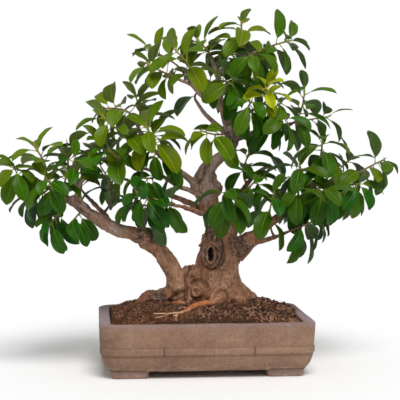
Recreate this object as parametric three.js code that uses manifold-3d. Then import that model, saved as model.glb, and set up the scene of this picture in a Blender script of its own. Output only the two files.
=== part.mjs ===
// Potted ficus bonsai: a clay tray pot, the mesh over its drain holes, the mounded soil, the woody
// trunk with its branches, and the leafy shoots that grow from them.
// Millimetres, +Z up, +X along the pot's length.

import * as THREE from "three";
import { mergeVertices } from "three/addons/utils/BufferGeometryUtils.js";
import Module from "manifold-3d";

const wasm = await Module();
wasm.setup();

// Pot
const POT_LENGTH = 348;
const POT_WIDTH = 256;
const POT_HEIGHT = 88;
const POT_CORNER = 30;
const RIM_WIDTH = 19;
const WALL = 12;
const FLOOR_UNDERSIDE = 11;
const FLOOR_TOP = 21;
const BAND_BOTTOM = 39;
const BAND_TOP = 50;
const BAND_PROUD = 1.6;
const BAND_JOINT_X = 72;
const BAND_JOINT_WIDTH = 5;
const FOOT_LENGTH = 60;
const FOOT_WIDTH = 44;
const FOOT_INSET = 19;
const FOOT_CORNER = 9;
const DRAIN_RADIUS = 11;
const DRAIN_X = 80;

// Drain mesh
const MESH_LENGTH = 200;
const MESH_WIDTH = 36;
const MESH_THICK = 1.2;
const MESH_PITCH = 6;
const MESH_OPENING = 3.5;

// Soil
const SOIL_EDGE_Z = 83;
const MOUND_RISE = 31;
const MOUND_CENTRE = [0, 4];

// Space kept between neighbouring pieces
const GAP = 0.3;

// Leaves. The last leaf of a twig is the youngest and lacks a share of its size.
const LEAF_LENGTH = 60;
const LEAF_WIDTH = 27;
const RIB_THICK = 1.1;
const FOLD = 0.3;
const YOUNG_LOSS = 0.28;
const BLADE_RINGS = [
  { place: 0.42, share: 0.98, thick: RIB_THICK },
  { place: 0.76, share: 0.8, thick: RIB_THICK },
];
const STALK_RING = { place: 0.2, share: 0.42, thick: 3 };
const GOLDEN_ANGLE = THREE.MathUtils.degToRad(137.5);

// Posture of the leaves: how they lean upward and along the twig, and their bend in radians
const LIFT = 0.3;
const LIFT_LOST_TO_DROOP = 1.35;
const LIFT_UP_THE_TWIG = 0.25;
const ALONG_TWIG = 0.25;
const ALONG_TWIG_GAIN = 0.35;
const LEAST_BEND = 0.75;
const BEND_RANGE = 0.7;

// Tests of a leaf's place: how often it is tried, and the room it keeps to what it passes
const TRIES_PER_LEAF = 40;
const LEAF_CLEARANCE = 1.4;
const BRANCH_CLEARANCE = 1.2;
const TWIG_CLEARANCE = 0.2;

// Twigs, with the distance between their leaves and the share of them that bears leaves
const TWIG_BASE_RADIUS = 1.8;
const TWIG_TIP_RADIUS = 1.2;
const TWIG_BEND = 0.42;
const TWIG_SIDE = [0.6, -0.3, 0.74];
const INTERNODE = 6.4;
const MOST_LEAFY = 0.78;
const BARE_RINGS = 2;

// Branches, thickest first: points [x, y, z, radius] along each centre line, with the number of sides.
// The pot's centre is at x = 0, y = 0 and its feet stand on z = 0.
const BRANCHES = {
  stem: {
    sides: 10,
    points: [
      [26, 0, 60, 44], [26, 0, 108, 48], [26, 0, 127, 44], [24, 0, 153, 38], [25, 0, 175, 36],
      [28, 0, 198, 32], [28, 0, 219, 29], [23, 2, 239, 22], [15, 4, 259, 16], [10, 4, 279, 17],
      [6, 3, 299, 22], [6, 3, 316, 20], [11, 4, 333, 13], [23, 6, 345, 10], [39, 8, 358, 9.5],
      [49, 10, 376, 13], [49, 10, 392, 8], [41, 10, 407, 6], [36, 12, 427, 5.5],
      [31, 14, 454, 5], [29, 16, 477, 4.5], [24, 18, 498, 4], [16, 20, 519, 3],
    ],
  },
  left: {
    sides: 9,
    points: [
      [-12, -6, 96, 34], [-22, -8, 119, 30], [-42, -12, 140, 21], [-48, -14, 157, 16],
      [-60, -18, 179, 15], [-76, -22, 199, 13.5], [-97, -25, 218, 18], [-117, -22, 225, 12],
      [-142, -18, 231, 11.5], [-165, -14, 243, 11], [-188, -12, 258, 10.5], [-206, -12, 273, 9],
      [-227, -12, 284, 7], [-247, -10, 296, 6], [-266, -10, 307, 5], [-286, -10, 321, 4.5],
    ],
  },
  right: {
    sides: 8,
    points: [
      [54, 2, 188, 19], [74, 0, 208, 16], [92, -4, 220, 11], [111, 0, 237, 8], [137, 6, 253, 7],
      [167, 8, 266, 6], [197, 6, 282, 5], [228, 4, 299, 4], [255, 4, 317, 3.5],
    ],
  },
  second: {
    sides: 6,
    points: [
      [46, 12, 208, 13], [56, 20, 234, 8], [60, 26, 257, 6.5], [65, 30, 281, 5.5],
      [80, 34, 305, 4.5], [100, 36, 325, 3.6], [119, 36, 337, 3],
    ],
  },
  lowright: {
    sides: 5,
    points: [
      [79, -6, 206, 8], [98, -18, 211, 5], [118, -27, 218, 3.6], [134, -32, 225, 3],
    ],
  },
  grey: {
    sides: 5,
    points: [
      [2, 0, 300, 9], [-20, -6, 313, 6.5], [-42, -12, 330, 5], [-65, -14, 348, 4.2],
      [-85, -14, 367, 3.6], [-102, -12, 390, 3], [-115, -10, 416, 2.6],
    ],
  },
  red: {
    sides: 5,
    points: [
      [3, -4, 286, 8], [-19, -14, 295, 5], [-43, -22, 304, 4.2], [-70, -30, 321, 3.4],
      [-93, -34, 331, 2.8], [-119, -34, 337, 2.4],
    ],
  },
  low: {
    sides: 5,
    points: [
      [15, -8, 253, 8], [-6, -22, 259, 4.6], [-30, -36, 268, 4], [-54, -50, 274, 3.4],
      [-78, -60, 279, 2.8],
    ],
  },
  front: {
    sides: 4,
    points: [
      [22, -8, 243, 7], [28, -34, 256, 4.5], [33, -62, 272, 3.2],
    ],
  },
  fork: {
    sides: 5,
    points: [
      [-204, -12, 270, 7], [-207, -10, 291, 5.5], [-206, -8, 305, 4.6], [-194, -6, 319, 3.4],
      [-186, -4, 333, 2.8],
    ],
  },
  leftback: {
    sides: 4,
    points: [
      [-152, -15, 236, 7], [-166, 22, 256, 5], [-192, 62, 282, 3.4],
    ],
  },
  backleft: {
    sides: 5,
    points: [
      [14, 8, 255, 9], [-18, 44, 272, 5.5], [-72, 84, 292, 4.2], [-124, 108, 310, 3],
    ],
  },
  rightback: {
    sides: 5,
    points: [
      [124, 3, 245, 6], [150, 44, 268, 5], [196, 80, 288, 3.4],
    ],
  },
  rightup: {
    sides: 6,
    points: [
      [184, 6, 275, 5.5], [192, 6, 304, 4], [198, 0, 338, 2.8],
    ],
  },
  knee: {
    sides: 5,
    points: [
      [49, 10, 382, 8], [69, 4, 386, 5.5], [90, -2, 393, 4], [113, -6, 398, 3.4],
      [138, -8, 402, 2.8],
    ],
  },
  east: {
    sides: 4,
    points: [
      [42, 10, 404, 5], [60, 2, 418, 3.8], [79, -8, 427, 3], [98, -16, 438, 2.6],
    ],
  },
  west: {
    sides: 5,
    points: [
      [34, 12, 432, 5], [13, 8, 444, 4.2], [-5, 4, 457, 3.8], [-18, 0, 471, 3.2],
      [-38, -6, 479, 2.6],
    ],
  },
  backtop: {
    sides: 4,
    points: [
      [46, 12, 388, 7], [30, 44, 404, 4.6], [10, 72, 426, 3.6], [-3, 92, 448, 2.8],
    ],
  },
  backcrown: {
    sides: 4,
    points: [
      [31, 15, 456, 4.5], [58, 46, 468, 3.6], [76, 66, 475, 2.8],
    ],
  },
  top: {
    sides: 4,
    points: [
      [26, 18, 490, 4], [44, 14, 505, 3.4], [69, 10, 517, 3], [90, 8, 527, 2.6],
    ],
  },
};

// Roots: they leave the flare and go down into the soil
const ROOTS = [
  [[38, -4, 136, 20], [64, -8, 122, 16], [90, -12, 103, 10], [118, -16, 84, 6]],
  [[-44, -8, 122, 20], [-72, -8, 118, 14], [-92, -6, 116, 12], [-110, -4, 102, 8], [-126, -2, 86, 5]],
  [[18, -30, 124, 20], [18, -50, 110, 13], [8, -64, 97, 7]],
  [[50, -20, 116, 20], [64, -40, 99, 13], [78, -60, 82, 6]],
  [[-22, -20, 114, 18], [-34, -40, 98, 12], [-46, -58, 82, 6]],
  [[40, 26, 124, 20], [60, 54, 104, 12], [78, 76, 84, 6]],
  [[10, 30, 124, 20], [-6, 58, 104, 12], [-20, 80, 84, 6]],
  [[-34, 8, 118, 18], [-60, 32, 104, 11], [-82, 50, 86, 6]],
];
const SURFACE_ROOT = [[18, -52, 114, 9], [-6, -68, 108, 5], [-32, -82, 104, 3.6], [-50, -92, 98, 2.6]];

// Lumps on the bark: centre and half sizes
const LUMPS = [
  { at: [-13, -38, 132], size: [14, 10, 14] },
  { at: [-20, -5, 151], size: [22, 20, 20] },
  { at: [58, -16, 194], size: [14, 14, 16] },
];

// The oval knot on the front of the trunk, with its ring of callus and its hollow
const KNOT = {
  at: [13, -30, 192],
  halfWidth: 13,
  halfHeight: 17,
  ring: 6,
  hollow: [6, 16, 11],
};

// Shoots: branch, place along its points, end of the twig [x, y, z], leaves, droop, leaf scale and
// leaf colour
const SHOOTS = [
  ["left", 14, [-275, -22, 365], 11, 0.1, 1, "bright"],
  ["left", 15, [-309, -45, 333], 10, 0.35, 1, "middle"],
  ["left", 13.2, [-256, -60, 316], 10, 0.55, 1, "middle"],
  ["left", 12.6, [-225, 0, 372], 10, 0.05, 1, "bright"],
  ["left", 13.5, [-285, 10, 287], 9, 0.9, 1, "dark"],
  ["left", 11.9, [-250, -48, 246], 9, 1.1, 1.05, "dark"],
  ["left", 10.6, [-216, -52, 249], 6, 1, 0.95, "dark"],
  ["fork", 4, [-166, -14, 372], 10, 0.2, 0.9, "bright"],
  ["fork", 2, [-212, -45, 347], 9, 0.3, 0.95, "middle"],
  ["leftback", 2, [-229, 95, 332], 10, 0.3, 1, "dark"],
  ["leftback", 1, [-168, 75, 332], 10, 0.3, 1, "dark"],
  ["grey", 6, [-156, -8, 432], 10, 0.35, 1, "bright"],
  ["grey", 5, [-166, -42, 416], 10, 0.3, 1, "bright"],
  ["grey", 5.5, [-109, 8, 446], 9, 0, 0.9, "bright"],
  ["grey", 4, [-95, -55, 401], 11, 0.5, 1.1, "bright"],
  ["grey", 4.4, [-78, 35, 400], 10, 0.2, 1, "middle"],
  ["grey", 3, [-88, -52, 364], 9, 0.7, 1.05, "middle"],
  ["red", 5, [-155, -42, 363], 10, 0.5, 1, "middle"],
  ["red", 3.4, [-107, -66, 319], 9, 0.8, 1, "dark"],
  ["backleft", 3, [-170, 126, 354], 10, 0.3, 1, "dark"],
  ["low", 4, [-112, -84, 296], 10, 0.9, 1.05, "dark"],
  ["low", 3, [-79, -84, 284], 10, 1, 1, "dark"],
  ["low", 3.6, [-123, -55, 278], 9, 0.9, 1.05, "dark"],
  ["west", 4, [-88, -12, 503], 11, 0.2, 1, "bright"],
  ["west", 3.3, [-47, -50, 523], 10, 0.2, 1, "bright"],
  ["west", 3.6, [-88, -2, 529], 9, 0.3, 1, "bright"],
  ["stem", 22, [-5, 14, 544], 11, 0.1, 1, "bright"],
  ["backtop", 3, [34, 108, 486], 10, 0.3, 1, "dark"],
  ["stem", 16.2, [-5, -50, 394], 9, 0.7, 0.95, "bright"],
  ["top", 3, [144, -4, 545], 11, 0.35, 1, "middle"],
  ["top", 2.4, [64, -8, 571], 10, 0.4, 1, "bright"],
  ["top", 2.7, [78, -42, 519], 9, 0.8, 1, "middle"],
  ["top", 1.5, [55, 45, 530], 10, 0.2, 1, "middle"],
  ["backcrown", 2, [101, 95, 489], 10, 0.4, 1, "dark"],
  ["stem", 20, [45, -42, 470], 10, 0.5, 1, "middle"],
  ["east", 3, [100, -48, 465], 10, 0, 0.75, "lime"],
  ["east", 2, [75, -52, 442], 9, 0.6, 1, "middle"],
  ["east", 2.6, [128, -30, 442], 10, 0.6, 1.05, "middle"],
  ["knee", 4, [171, -7, 460], 11, 0.3, 1, "middle"],
  ["knee", 3, [131, -50, 416], 9, 0.8, 1.05, "dark"],
  ["knee", 3.5, [215, 20, 419], 10, 0.2, 1, "middle"],
  ["rightup", 2, [200, -15, 375], 11, 0.5, 1.1, "middle"],
  ["rightup", 1, [156, -50, 339], 10, 0.7, 1.1, "dark"],
  ["right", 8, [306, 0, 345], 10, 0.7, 1, "middle"],
  ["right", 7.4, [256, -40, 307], 10, 1, 1.1, "dark"],
  ["right", 7, [257, 30, 346], 10, 0.3, 1, "middle"],
  ["right", 6, [195, -65, 298], 10, 0.9, 1.1, "dark"],
  ["right", 5, [151, -73, 304], 10, 0.8, 1.1, "dark"],
  ["second", 3.4, [89, -34, 317], 10, 0.6, 1, "middle"],
  ["second", 4, [78, 8, 355], 10, 0.4, 1, "middle"],
  ["rightback", 2, [266, 110, 312], 10, 0.4, 1, "dark"],
  ["rightback", 1, [180, 96, 325], 10, 0.4, 1, "dark"],
  ["lowright", 3, [192, -48, 250], 10, 1.0, 1.05, "dark"],
  ["lowright", 2, [110, -62, 288], 7, 0.6, 1, "dark"],
  ["right", 4, [131, -55, 290], 10, 0.8, 1.1, "dark"],
  ["front", 2, [30, -90, 296], 10, 1, 1.1, "dark"],
];

const COLOURS = {
  clay: 0x8f7462,
  soil: 0x3b2619,
  mesh: 0x1c1d1e,
  bark: 0x8a6f58,
  dark: 0x2c5423,
  middle: 0x3d6a22,
  bright: 0x5a8420,
  lime: 0xa7b92a,
};

const UP = new THREE.Vector3(0, 0, 1);

// Closed surface through a row of rings with the same number of points, with a flat cap at each end
function loftRings(rings) {
  const count = rings[0].length;
  const corners = rings.flat().flatMap((point) => [point.x, point.y, point.z]);
  const faces = [];
  for (let row = 0; row + 1 < rings.length; row++) {
    for (let side = 0; side < count; side++) {
      const a = row * count + side;
      const b = row * count + ((side + 1) % count);
      faces.push(a, b, b + count, a, b + count, a + count);
    }
  }
  const last = (rings.length - 1) * count;
  for (let side = 1; side + 1 < count; side++) {
    faces.push(0, side + 1, side);
    faces.push(last, last + side, last + side + 1);
  }
  return indexedGeometry(corners, faces);
}

function indexedGeometry(corners, faces) {
  const geometry = new THREE.BufferGeometry();
  geometry.setAttribute("position", new THREE.Float32BufferAttribute(corners, 3));
  geometry.setIndex(faces);
  return geometry;
}

function toSolid(geometry) {
  const bare = geometry.clone();
  bare.deleteAttribute("normal");
  bare.deleteAttribute("uv");
  const merged = mergeVertices(bare, 1e-4);
  return new wasm.Manifold(
    new wasm.Mesh({
      numProp: 3,
      vertProperties: Float32Array.from(merged.attributes.position.array),
      triVerts: Uint32Array.from(merged.index.array),
    }),
  );
}

function toGeometry(solid) {
  const { vertProperties, triVerts } = solid.getMesh();
  return indexedGeometry(Array.from(vertProperties), Array.from(triVerts));
}

// Pot and soil outlines: a rectangle with rounded corners at one height
const CORNER_STEPS = 4;
const FOOT_CORNER_STEPS = 2;

function roundedRing(length, width, corner, z, centre = [0, 0], steps = CORNER_STEPS) {
  const points = [];
  const quarters = [[1, 1], [-1, 1], [-1, -1], [1, -1]];
  quarters.forEach(([sideX, sideY], quarter) => {
    for (let step = 0; step <= steps; step++) {
      const angle = (quarter + step / steps) * (Math.PI / 2);
      const x = sideX * (length / 2 - corner) + corner * Math.cos(angle);
      const y = sideY * (width / 2 - corner) + corner * Math.sin(angle);
      points.push(new THREE.Vector3(x + centre[0], y + centre[1], z));
    }
  });
  return points;
}

function insetRing(inset, z) {
  const corner = Math.max(POT_CORNER - inset, 8);
  return roundedRing(POT_LENGTH - 2 * inset, POT_WIDTH - 2 * inset, corner, z);
}

function block(sizeX, sizeY, sizeZ, x, y, z) {
  return toSolid(new THREE.BoxGeometry(sizeX, sizeY, sizeZ).translate(x, y, z));
}

function uprightCylinder(radius, height, x, y, z, sides) {
  const cylinder = new THREE.CylinderGeometry(radius, radius, height, sides);
  return toSolid(cylinder.rotateX(Math.PI / 2).translate(x, y, z));
}

// Pot: the outer wall rises from the floor, over the band and the rim, and goes down inside
function buildPot() {
  const outside = [
    insetRing(22, FLOOR_UNDERSIDE),
    insetRing(13, FLOOR_UNDERSIDE + 5),
    insetRing(6.5, FLOOR_UNDERSIDE + 15),
    insetRing(3, BAND_BOTTOM),
    insetRing(3 - BAND_PROUD, BAND_BOTTOM + 1),
    insetRing(2.4 - BAND_PROUD, BAND_TOP - 1),
    insetRing(2.4, BAND_TOP),
    insetRing(0.6, POT_HEIGHT - 16),
    insetRing(0, POT_HEIGHT - 3),
    insetRing(1.4, POT_HEIGHT),
  ];
  const inside = [
    insetRing(RIM_WIDTH - 1, POT_HEIGHT),
    insetRing(RIM_WIDTH, POT_HEIGHT - 2),
    insetRing(RIM_WIDTH, POT_HEIGHT - 9),
    insetRing(RIM_WIDTH + 2, BAND_TOP),
    insetRing(22 + WALL, FLOOR_TOP),
  ];
  let pot = toSolid(loftRings([...outside, ...inside]));
  for (const sideX of [-1, 1]) {
    for (const sideY of [-1, 1]) {
      pot = pot.add(buildFoot(sideX, sideY));
      pot = pot.add(buildBandJoint(sideX * BAND_JOINT_X, sideY));
    }
    pot = pot.subtract(uprightCylinder(DRAIN_RADIUS, 40, sideX * DRAIN_X, 0, FLOOR_TOP, 16));
  }
  return toGeometry(pot);
}

function buildFoot(sideX, sideY) {
  const x = sideX * (POT_LENGTH / 2 - FOOT_INSET - FOOT_LENGTH / 2);
  const y = sideY * (POT_WIDTH / 2 - FOOT_INSET - FOOT_WIDTH / 2);
  const heights = [0, 2, FLOOR_UNDERSIDE + 2];
  const insets = [1.5, 0, 0];
  const rings = heights.map((z, row) => {
    const length = FOOT_LENGTH - 2 * insets[row];
    const width = FOOT_WIDTH - 2 * insets[row];
    return roundedRing(length, width, FOOT_CORNER, z, [x, y], FOOT_CORNER_STEPS);
  });
  return toSolid(loftRings(rings));
}

function buildBandJoint(x, sideY) {
  const depth = 6;
  const y = sideY * (POT_WIDTH / 2 - 3 + BAND_PROUD + 1 - depth / 2);
  return block(BAND_JOINT_WIDTH, depth, BAND_TOP - BAND_BOTTOM + 3, x, y, (BAND_TOP + BAND_BOTTOM) / 2);
}

// Drain mesh: one thin strip with openings over both drain holes, lying on the pot's floor
function buildDrainMesh() {
  const z = FLOOR_TOP + GAP + MESH_THICK / 2;
  let strip = block(MESH_LENGTH, MESH_WIDTH, MESH_THICK, 0, 0, z);
  for (const hole of [-DRAIN_X, DRAIN_X]) {
    for (const offset of [-MESH_PITCH, 0, MESH_PITCH]) {
      strip = strip.subtract(block(MESH_OPENING, DRAIN_RADIUS * 1.6, 2 * MESH_THICK, hole + offset, 0, z));
    }
  }
  return toGeometry(strip);
}

// Soil: fills the pot and rises to a mound under the trunk
function moundHeight(x, y) {
  const acrossX = Math.abs(x - MOUND_CENTRE[0]) / (POT_LENGTH / 2);
  const acrossY = Math.abs(y - MOUND_CENTRE[1]) / (POT_WIDTH / 2);
  const reach = Math.min(1, Math.pow(Math.pow(acrossX, 2.6) + Math.pow(acrossY, 2.6), 1 / 2.6));
  const ripple = 1.1 * Math.sin(x / 13) * Math.cos(y / 11);
  return SOIL_EDGE_Z + MOUND_RISE * (1 - Math.pow(reach, 3)) + ripple * (1 - reach);
}

function soilInset(z) {
  const fraction = Math.min(1, Math.max(0, (z - FLOOR_TOP) / (BAND_TOP - FLOOR_TOP)));
  return THREE.MathUtils.lerp(22 + WALL, RIM_WIDTH + 2, fraction) + GAP * 2;
}

function buildSoil() {
  const bottom = FLOOR_TOP + MESH_THICK + 2 * GAP;
  const rings = [
    insetRing(soilInset(bottom), bottom),
    insetRing(soilInset(BAND_TOP), BAND_TOP),
    insetRing(soilInset(BAND_TOP), SOIL_EDGE_Z - 4),
  ];
  const insets = [0.6, 11, 28, 52, 84];
  for (const inset of insets) {
    const ring = insetRing(soilInset(BAND_TOP) + inset, 0);
    rings.push(ring.map((point) => new THREE.Vector3(point.x, point.y, moundHeight(point.x, point.y))));
  }
  return toSolid(loftRings(rings));
}

// A closed, tapered branch through its points. Extra radius makes the space that the soil leaves for it.
function branchRings(points, sides, extra = 0) {
  const centres = points.map(([x, y, z]) => new THREE.Vector3(x, y, z));
  const tangents = centres.map((centre, index) => {
    const before = centres[Math.max(index - 1, 0)];
    const after = centres[Math.min(index + 1, centres.length - 1)];
    return after.clone().sub(before).normalize();
  });
  let side = new THREE.Vector3(0, 1, 0);
  return centres.map((centre, index) => {
    const tangent = tangents[index];
    side = side.clone().addScaledVector(tangent, -side.dot(tangent)).normalize();
    const across = new THREE.Vector3().crossVectors(tangent, side);
    return circleRing(centre, side, across, points[index][3] + extra, sides, 0);
  });
}

function circleRing(centre, side, across, radius, sides, turn) {
  const ring = [];
  for (let step = 0; step < sides; step++) {
    const angle = turn + (step / sides) * 2 * Math.PI;
    const point = centre.clone();
    point.addScaledVector(side, radius * Math.cos(angle));
    point.addScaledVector(across, radius * Math.sin(angle));
    ring.push(point);
  }
  return ring;
}

function branchSolid(points, sides, extra = 0) {
  return toSolid(loftRings(branchRings(points, sides, extra)));
}

function ellipsoid(at, size, detail) {
  const ball = new THREE.IcosahedronGeometry(1, detail);
  return toSolid(ball.scale(...size).translate(...at));
}

function buildKnotRing() {
  const ring = new THREE.TorusGeometry(1, KNOT.ring / KNOT.halfWidth, 5, 11);
  ring.rotateX(Math.PI / 2);
  ring.scale(KNOT.halfWidth, KNOT.ring, KNOT.halfHeight);
  return toSolid(ring.translate(...KNOT.at));
}

function rootSolids(extra) {
  const roots = ROOTS.map((root) => branchSolid(root, 6, extra));
  roots.push(branchSolid(SURFACE_ROOT, 5, extra));
  return roots;
}

// What the soil makes room for: the roots and the feet of the trunk and of its left limb
function rootBall(extra) {
  const stemFoot = branchSolid(BRANCHES.stem.points.slice(0, 5), BRANCHES.stem.sides, extra);
  const limbFoot = branchSolid(BRANCHES.left.points.slice(0, 5), BRANCHES.left.sides, extra);
  return rootSolids(extra).reduce((ball, root) => ball.add(root), stemFoot.add(limbFoot));
}

function buildTrunk() {
  const pieces = Object.values(BRANCHES).map(({ points, sides }) => branchSolid(points, sides));
  pieces.push(...rootSolids(0), buildKnotRing());
  pieces.push(...LUMPS.map(({ at, size }) => ellipsoid(at, size, 1)));
  const trunk = pieces.reduce((whole, piece) => whole.add(piece));
  return trunk.subtract(ellipsoid(KNOT.at, KNOT.hollow, 1));
}

// Seeded random numbers from 0 to 1
function randomFrom(seed) {
  let state = seed >>> 0;
  return () => {
    state = (state + 0x6d2b79f5) >>> 0;
    let mixed = Math.imul(state ^ (state >>> 15), state | 1);
    mixed ^= mixed + Math.imul(mixed ^ (mixed >>> 7), mixed | 61);
    return ((mixed ^ (mixed >>> 14)) >>> 0) / 4294967296;
  };
}

// Twig: it leaves the branch square to it, or on from its end, and bends towards its tip
function pointOnBranch(name, place) {
  const { points } = BRANCHES[name];
  const index = Math.min(Math.floor(place), points.length - 2);
  const fraction = place - index;
  const [start, end] = [points[index], points[index + 1]];
  const mixed = start.map((value, axis) => value + (end[axis] - value) * fraction);
  const centre = new THREE.Vector3(mixed[0], mixed[1], mixed[2]);
  const axis = new THREE.Vector3(end[0] - start[0], end[1] - start[1], end[2] - start[2]).normalize();
  return { centre, radius: mixed[3], axis, atEnd: place === points.length - 1 };
}

function twigCurve(shoot) {
  const [name, place, tip] = shoot;
  const { centre, radius, axis, atEnd } = pointOnBranch(name, place);
  const end = new THREE.Vector3(...tip);
  const towards = end.clone().sub(centre);
  const square = towards.clone().addScaledVector(axis, -towards.dot(axis)).normalize();
  const leaving = atEnd ? axis : square;
  const start = centre.clone().addScaledVector(leaving, atEnd ? GAP : radius + GAP);
  const reach = start.distanceTo(end);
  const bend = start.clone().addScaledVector(leaving, TWIG_BEND * reach);
  return { curve: new THREE.QuadraticBezierCurve3(start, bend, end), reach };
}

// Places of the twig's rings along its curve: two bare steps, then one ring for each leaf
function twigSteps(leaves, reach) {
  const leafy = Math.min(MOST_LEAFY, (leaves * INTERNODE) / reach);
  const steps = [0, (1 - leafy) / 2];
  for (let leaf = 0; leaf < leaves; leaf++) {
    steps.push(1 - leafy * Math.pow(1 - leaf / (leaves - 1), 1.4));
  }
  return steps;
}

// The twig has three sides and turns so that each leaf's side faces the way the leaf grows
function buildTwig(shoot, number) {
  const { curve, reach } = twigCurve(shoot);
  const firstTurn = randomFrom(number * 7919 + 17)() * 2 * Math.PI;
  let side = new THREE.Vector3(...TWIG_SIDE);
  const rings = twigSteps(shoot[3], reach).map((step, row) => {
    const centre = curve.getPoint(step);
    const tangent = curve.getTangent(step);
    side = side.clone().addScaledVector(tangent, -side.dot(tangent)).normalize();
    const across = new THREE.Vector3().crossVectors(tangent, side);
    const radius = THREE.MathUtils.lerp(TWIG_BASE_RADIUS, TWIG_TIP_RADIUS, step);
    const leaf = Math.max(row - BARE_RINGS, 0);
    const azimuth = firstTurn + leaf * GOLDEN_ANGLE;
    const turn = azimuth - Math.PI / 3 - (leaf % 3) * ((2 * Math.PI) / 3);
    const points = circleRing(centre, side, across, radius, 3, turn);
    return { centre, tangent, side, across, radius, azimuth, points };
  });
  return { rings, number, shoot };
}

// Corners [ring, corner] of the twig's face that a leaf grows from; the last leaf grows from the end
function baseCorners(leaf, leaves) {
  const row = leaf + BARE_RINGS;
  const face = leaf % 3;
  const next = (face + 1) % 3;
  if (leaf === leaves - 1) {
    return [[row, 0], [row, 1], [row, 2]];
  }
  return [[row, face], [row + 1, next], [row + 1, face]];
}

function middleOf(points) {
  const middle = new THREE.Vector3();
  points.forEach((point) => middle.addScaledVector(point, 1 / points.length));
  return middle;
}

// One try of one leaf: where it starts, where it points, how it bends and how large it is.
// Later tries are turned further from the usual place.
function leafTry(twig, leaf, attempt) {
  const [, , , leaves, droop, scale] = twig.shoot;
  const ring = twig.rings[leaf + BARE_RINGS];
  const last = leaf === leaves - 1;
  const random = randomFrom(twig.number * 100003 + leaf * 1009 + attempt * 31 + 5);
  const spread = (amount) => (random() * 2 - 1) * amount;
  const loosen = Math.min(attempt, 20) / 20;
  const height = leaf / (leaves - 1);
  const azimuth = ring.azimuth + spread(0.25 + 0.9 * loosen);
  const radial = ring.side.clone().multiplyScalar(Math.cos(azimuth));
  radial.addScaledVector(ring.across, Math.sin(azimuth));

  const lift = LIFT - LIFT_LOST_TO_DROOP * droop + LIFT_UP_THE_TWIG * height + spread(0.25 + 0.6 * loosen);
  const direction = radial.clone().multiplyScalar(last ? 0.35 : 0.9);
  direction.addScaledVector(ring.tangent, last ? 1.2 : ALONG_TWIG + ALONG_TWIG_GAIN * height);
  direction.addScaledVector(UP, lift).normalize();

  const normal = UP.clone().addScaledVector(ring.tangent, 0.5).addScaledVector(radial, -0.2);
  normal.addScaledVector(direction, -normal.dot(direction)).normalize();
  normal.applyAxisAngle(direction, spread(0.45));
  const across = new THREE.Vector3().crossVectors(normal, direction);

  const young = 1 - YOUNG_LOSS * Math.pow(height, 3);
  const size = scale * young * (0.86 + 0.28 * random()) * (1 - 0.22 * loosen);
  const level = Math.sqrt(Math.max(0, 1 - direction.z * direction.z));
  const bend = (0.3 + 0.7 * level) * (LEAST_BEND + BEND_RANGE * random());

  const base = baseCorners(leaf, leaves).map(([row, corner]) => twig.rings[row].points[corner]);
  return { base, start: middleOf(base), direction, normal, across, bend, size };
}

// Point and upward direction on the rib, which is an arc
function ribPoint(leaf, place) {
  const angle = leaf.bend * place;
  const arc = (LEAF_LENGTH * leaf.size) / leaf.bend;
  const point = leaf.start.clone().addScaledVector(leaf.direction, arc * Math.sin(angle));
  point.addScaledVector(leaf.normal, -arc * (1 - Math.cos(angle)));
  const normal = leaf.normal.clone().multiplyScalar(Math.cos(angle));
  normal.addScaledVector(leaf.direction, Math.sin(angle));
  return { point, normal };
}

// Corners of a leaf: four on each ring (under the rib, one edge, on the rib, other edge) and the tip.
// Extra swells the leaf all round.
function leafCorners(leaf, rings, extra) {
  const corners = [];
  for (const { place, share, thick } of rings) {
    const { point, normal } = ribPoint(leaf, place);
    const half = (LEAF_WIDTH * leaf.size * share) / 2 + extra;
    const offsets = [
      [0, -thick / 2 - extra],
      [half, half * FOLD],
      [0, thick / 2 + extra],
      [-half, half * FOLD],
    ];
    for (const [sideways, upward] of offsets) {
      const corner = point.clone().addScaledVector(leaf.across, sideways);
      corners.push(corner.addScaledVector(normal, upward));
    }
  }
  corners.push(ribPoint(leaf, 1 + extra / LEAF_LENGTH).point);
  return corners;
}

// Faces from one blade ring (its corners start at a) to the next (starting at b). Both sides of the
// blade are split alike.
function ringFaces(a, b) {
  return [
    [a, a + 1, b + 1], [a, b + 1, b], [a + 1, a + 2, b + 1], [a + 2, b + 2, b + 1],
    [a + 2, a + 3, b + 3], [a + 2, b + 3, b + 2], [a + 3, a, b + 3], [a, b, b + 3],
  ];
}

function tipFaces(a) {
  return [[a, a + 1, a + 4], [a + 1, a + 2, a + 4], [a + 2, a + 3, a + 4], [a + 3, a, a + 4]];
}

// Faces from the leaf's base on the twig, named by where they lie on the leaf, to its first ring
function baseFaces([under, one, other], a) {
  return [
    [under, one, a + 1], [under, a + 1, a], [one, a + 2, a + 1], [one, other, a + 2],
    [other, a + 3, a + 2], [other, under, a + 3], [under, a, a + 3],
  ];
}

// Whether segment pq passes through a triangle
function passesThrough(p, q, [a, b, c]) {
  const edgeB = b.clone().sub(a);
  const edgeC = c.clone().sub(a);
  const along = q.clone().sub(p);
  const cross = along.clone().cross(edgeC);
  const scale = edgeB.dot(cross);
  if (Math.abs(scale) < 1e-9) {
    return false;
  }
  const offset = p.clone().sub(a);
  const u = offset.dot(cross) / scale;
  if (u < 0 || u > 1) {
    return false;
  }
  const turned = offset.cross(edgeB);
  const v = along.dot(turned) / scale;
  if (v < 0 || u + v > 1) {
    return false;
  }
  const place = edgeC.dot(turned) / scale;
  return place >= 0 && place <= 1;
}

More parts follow.
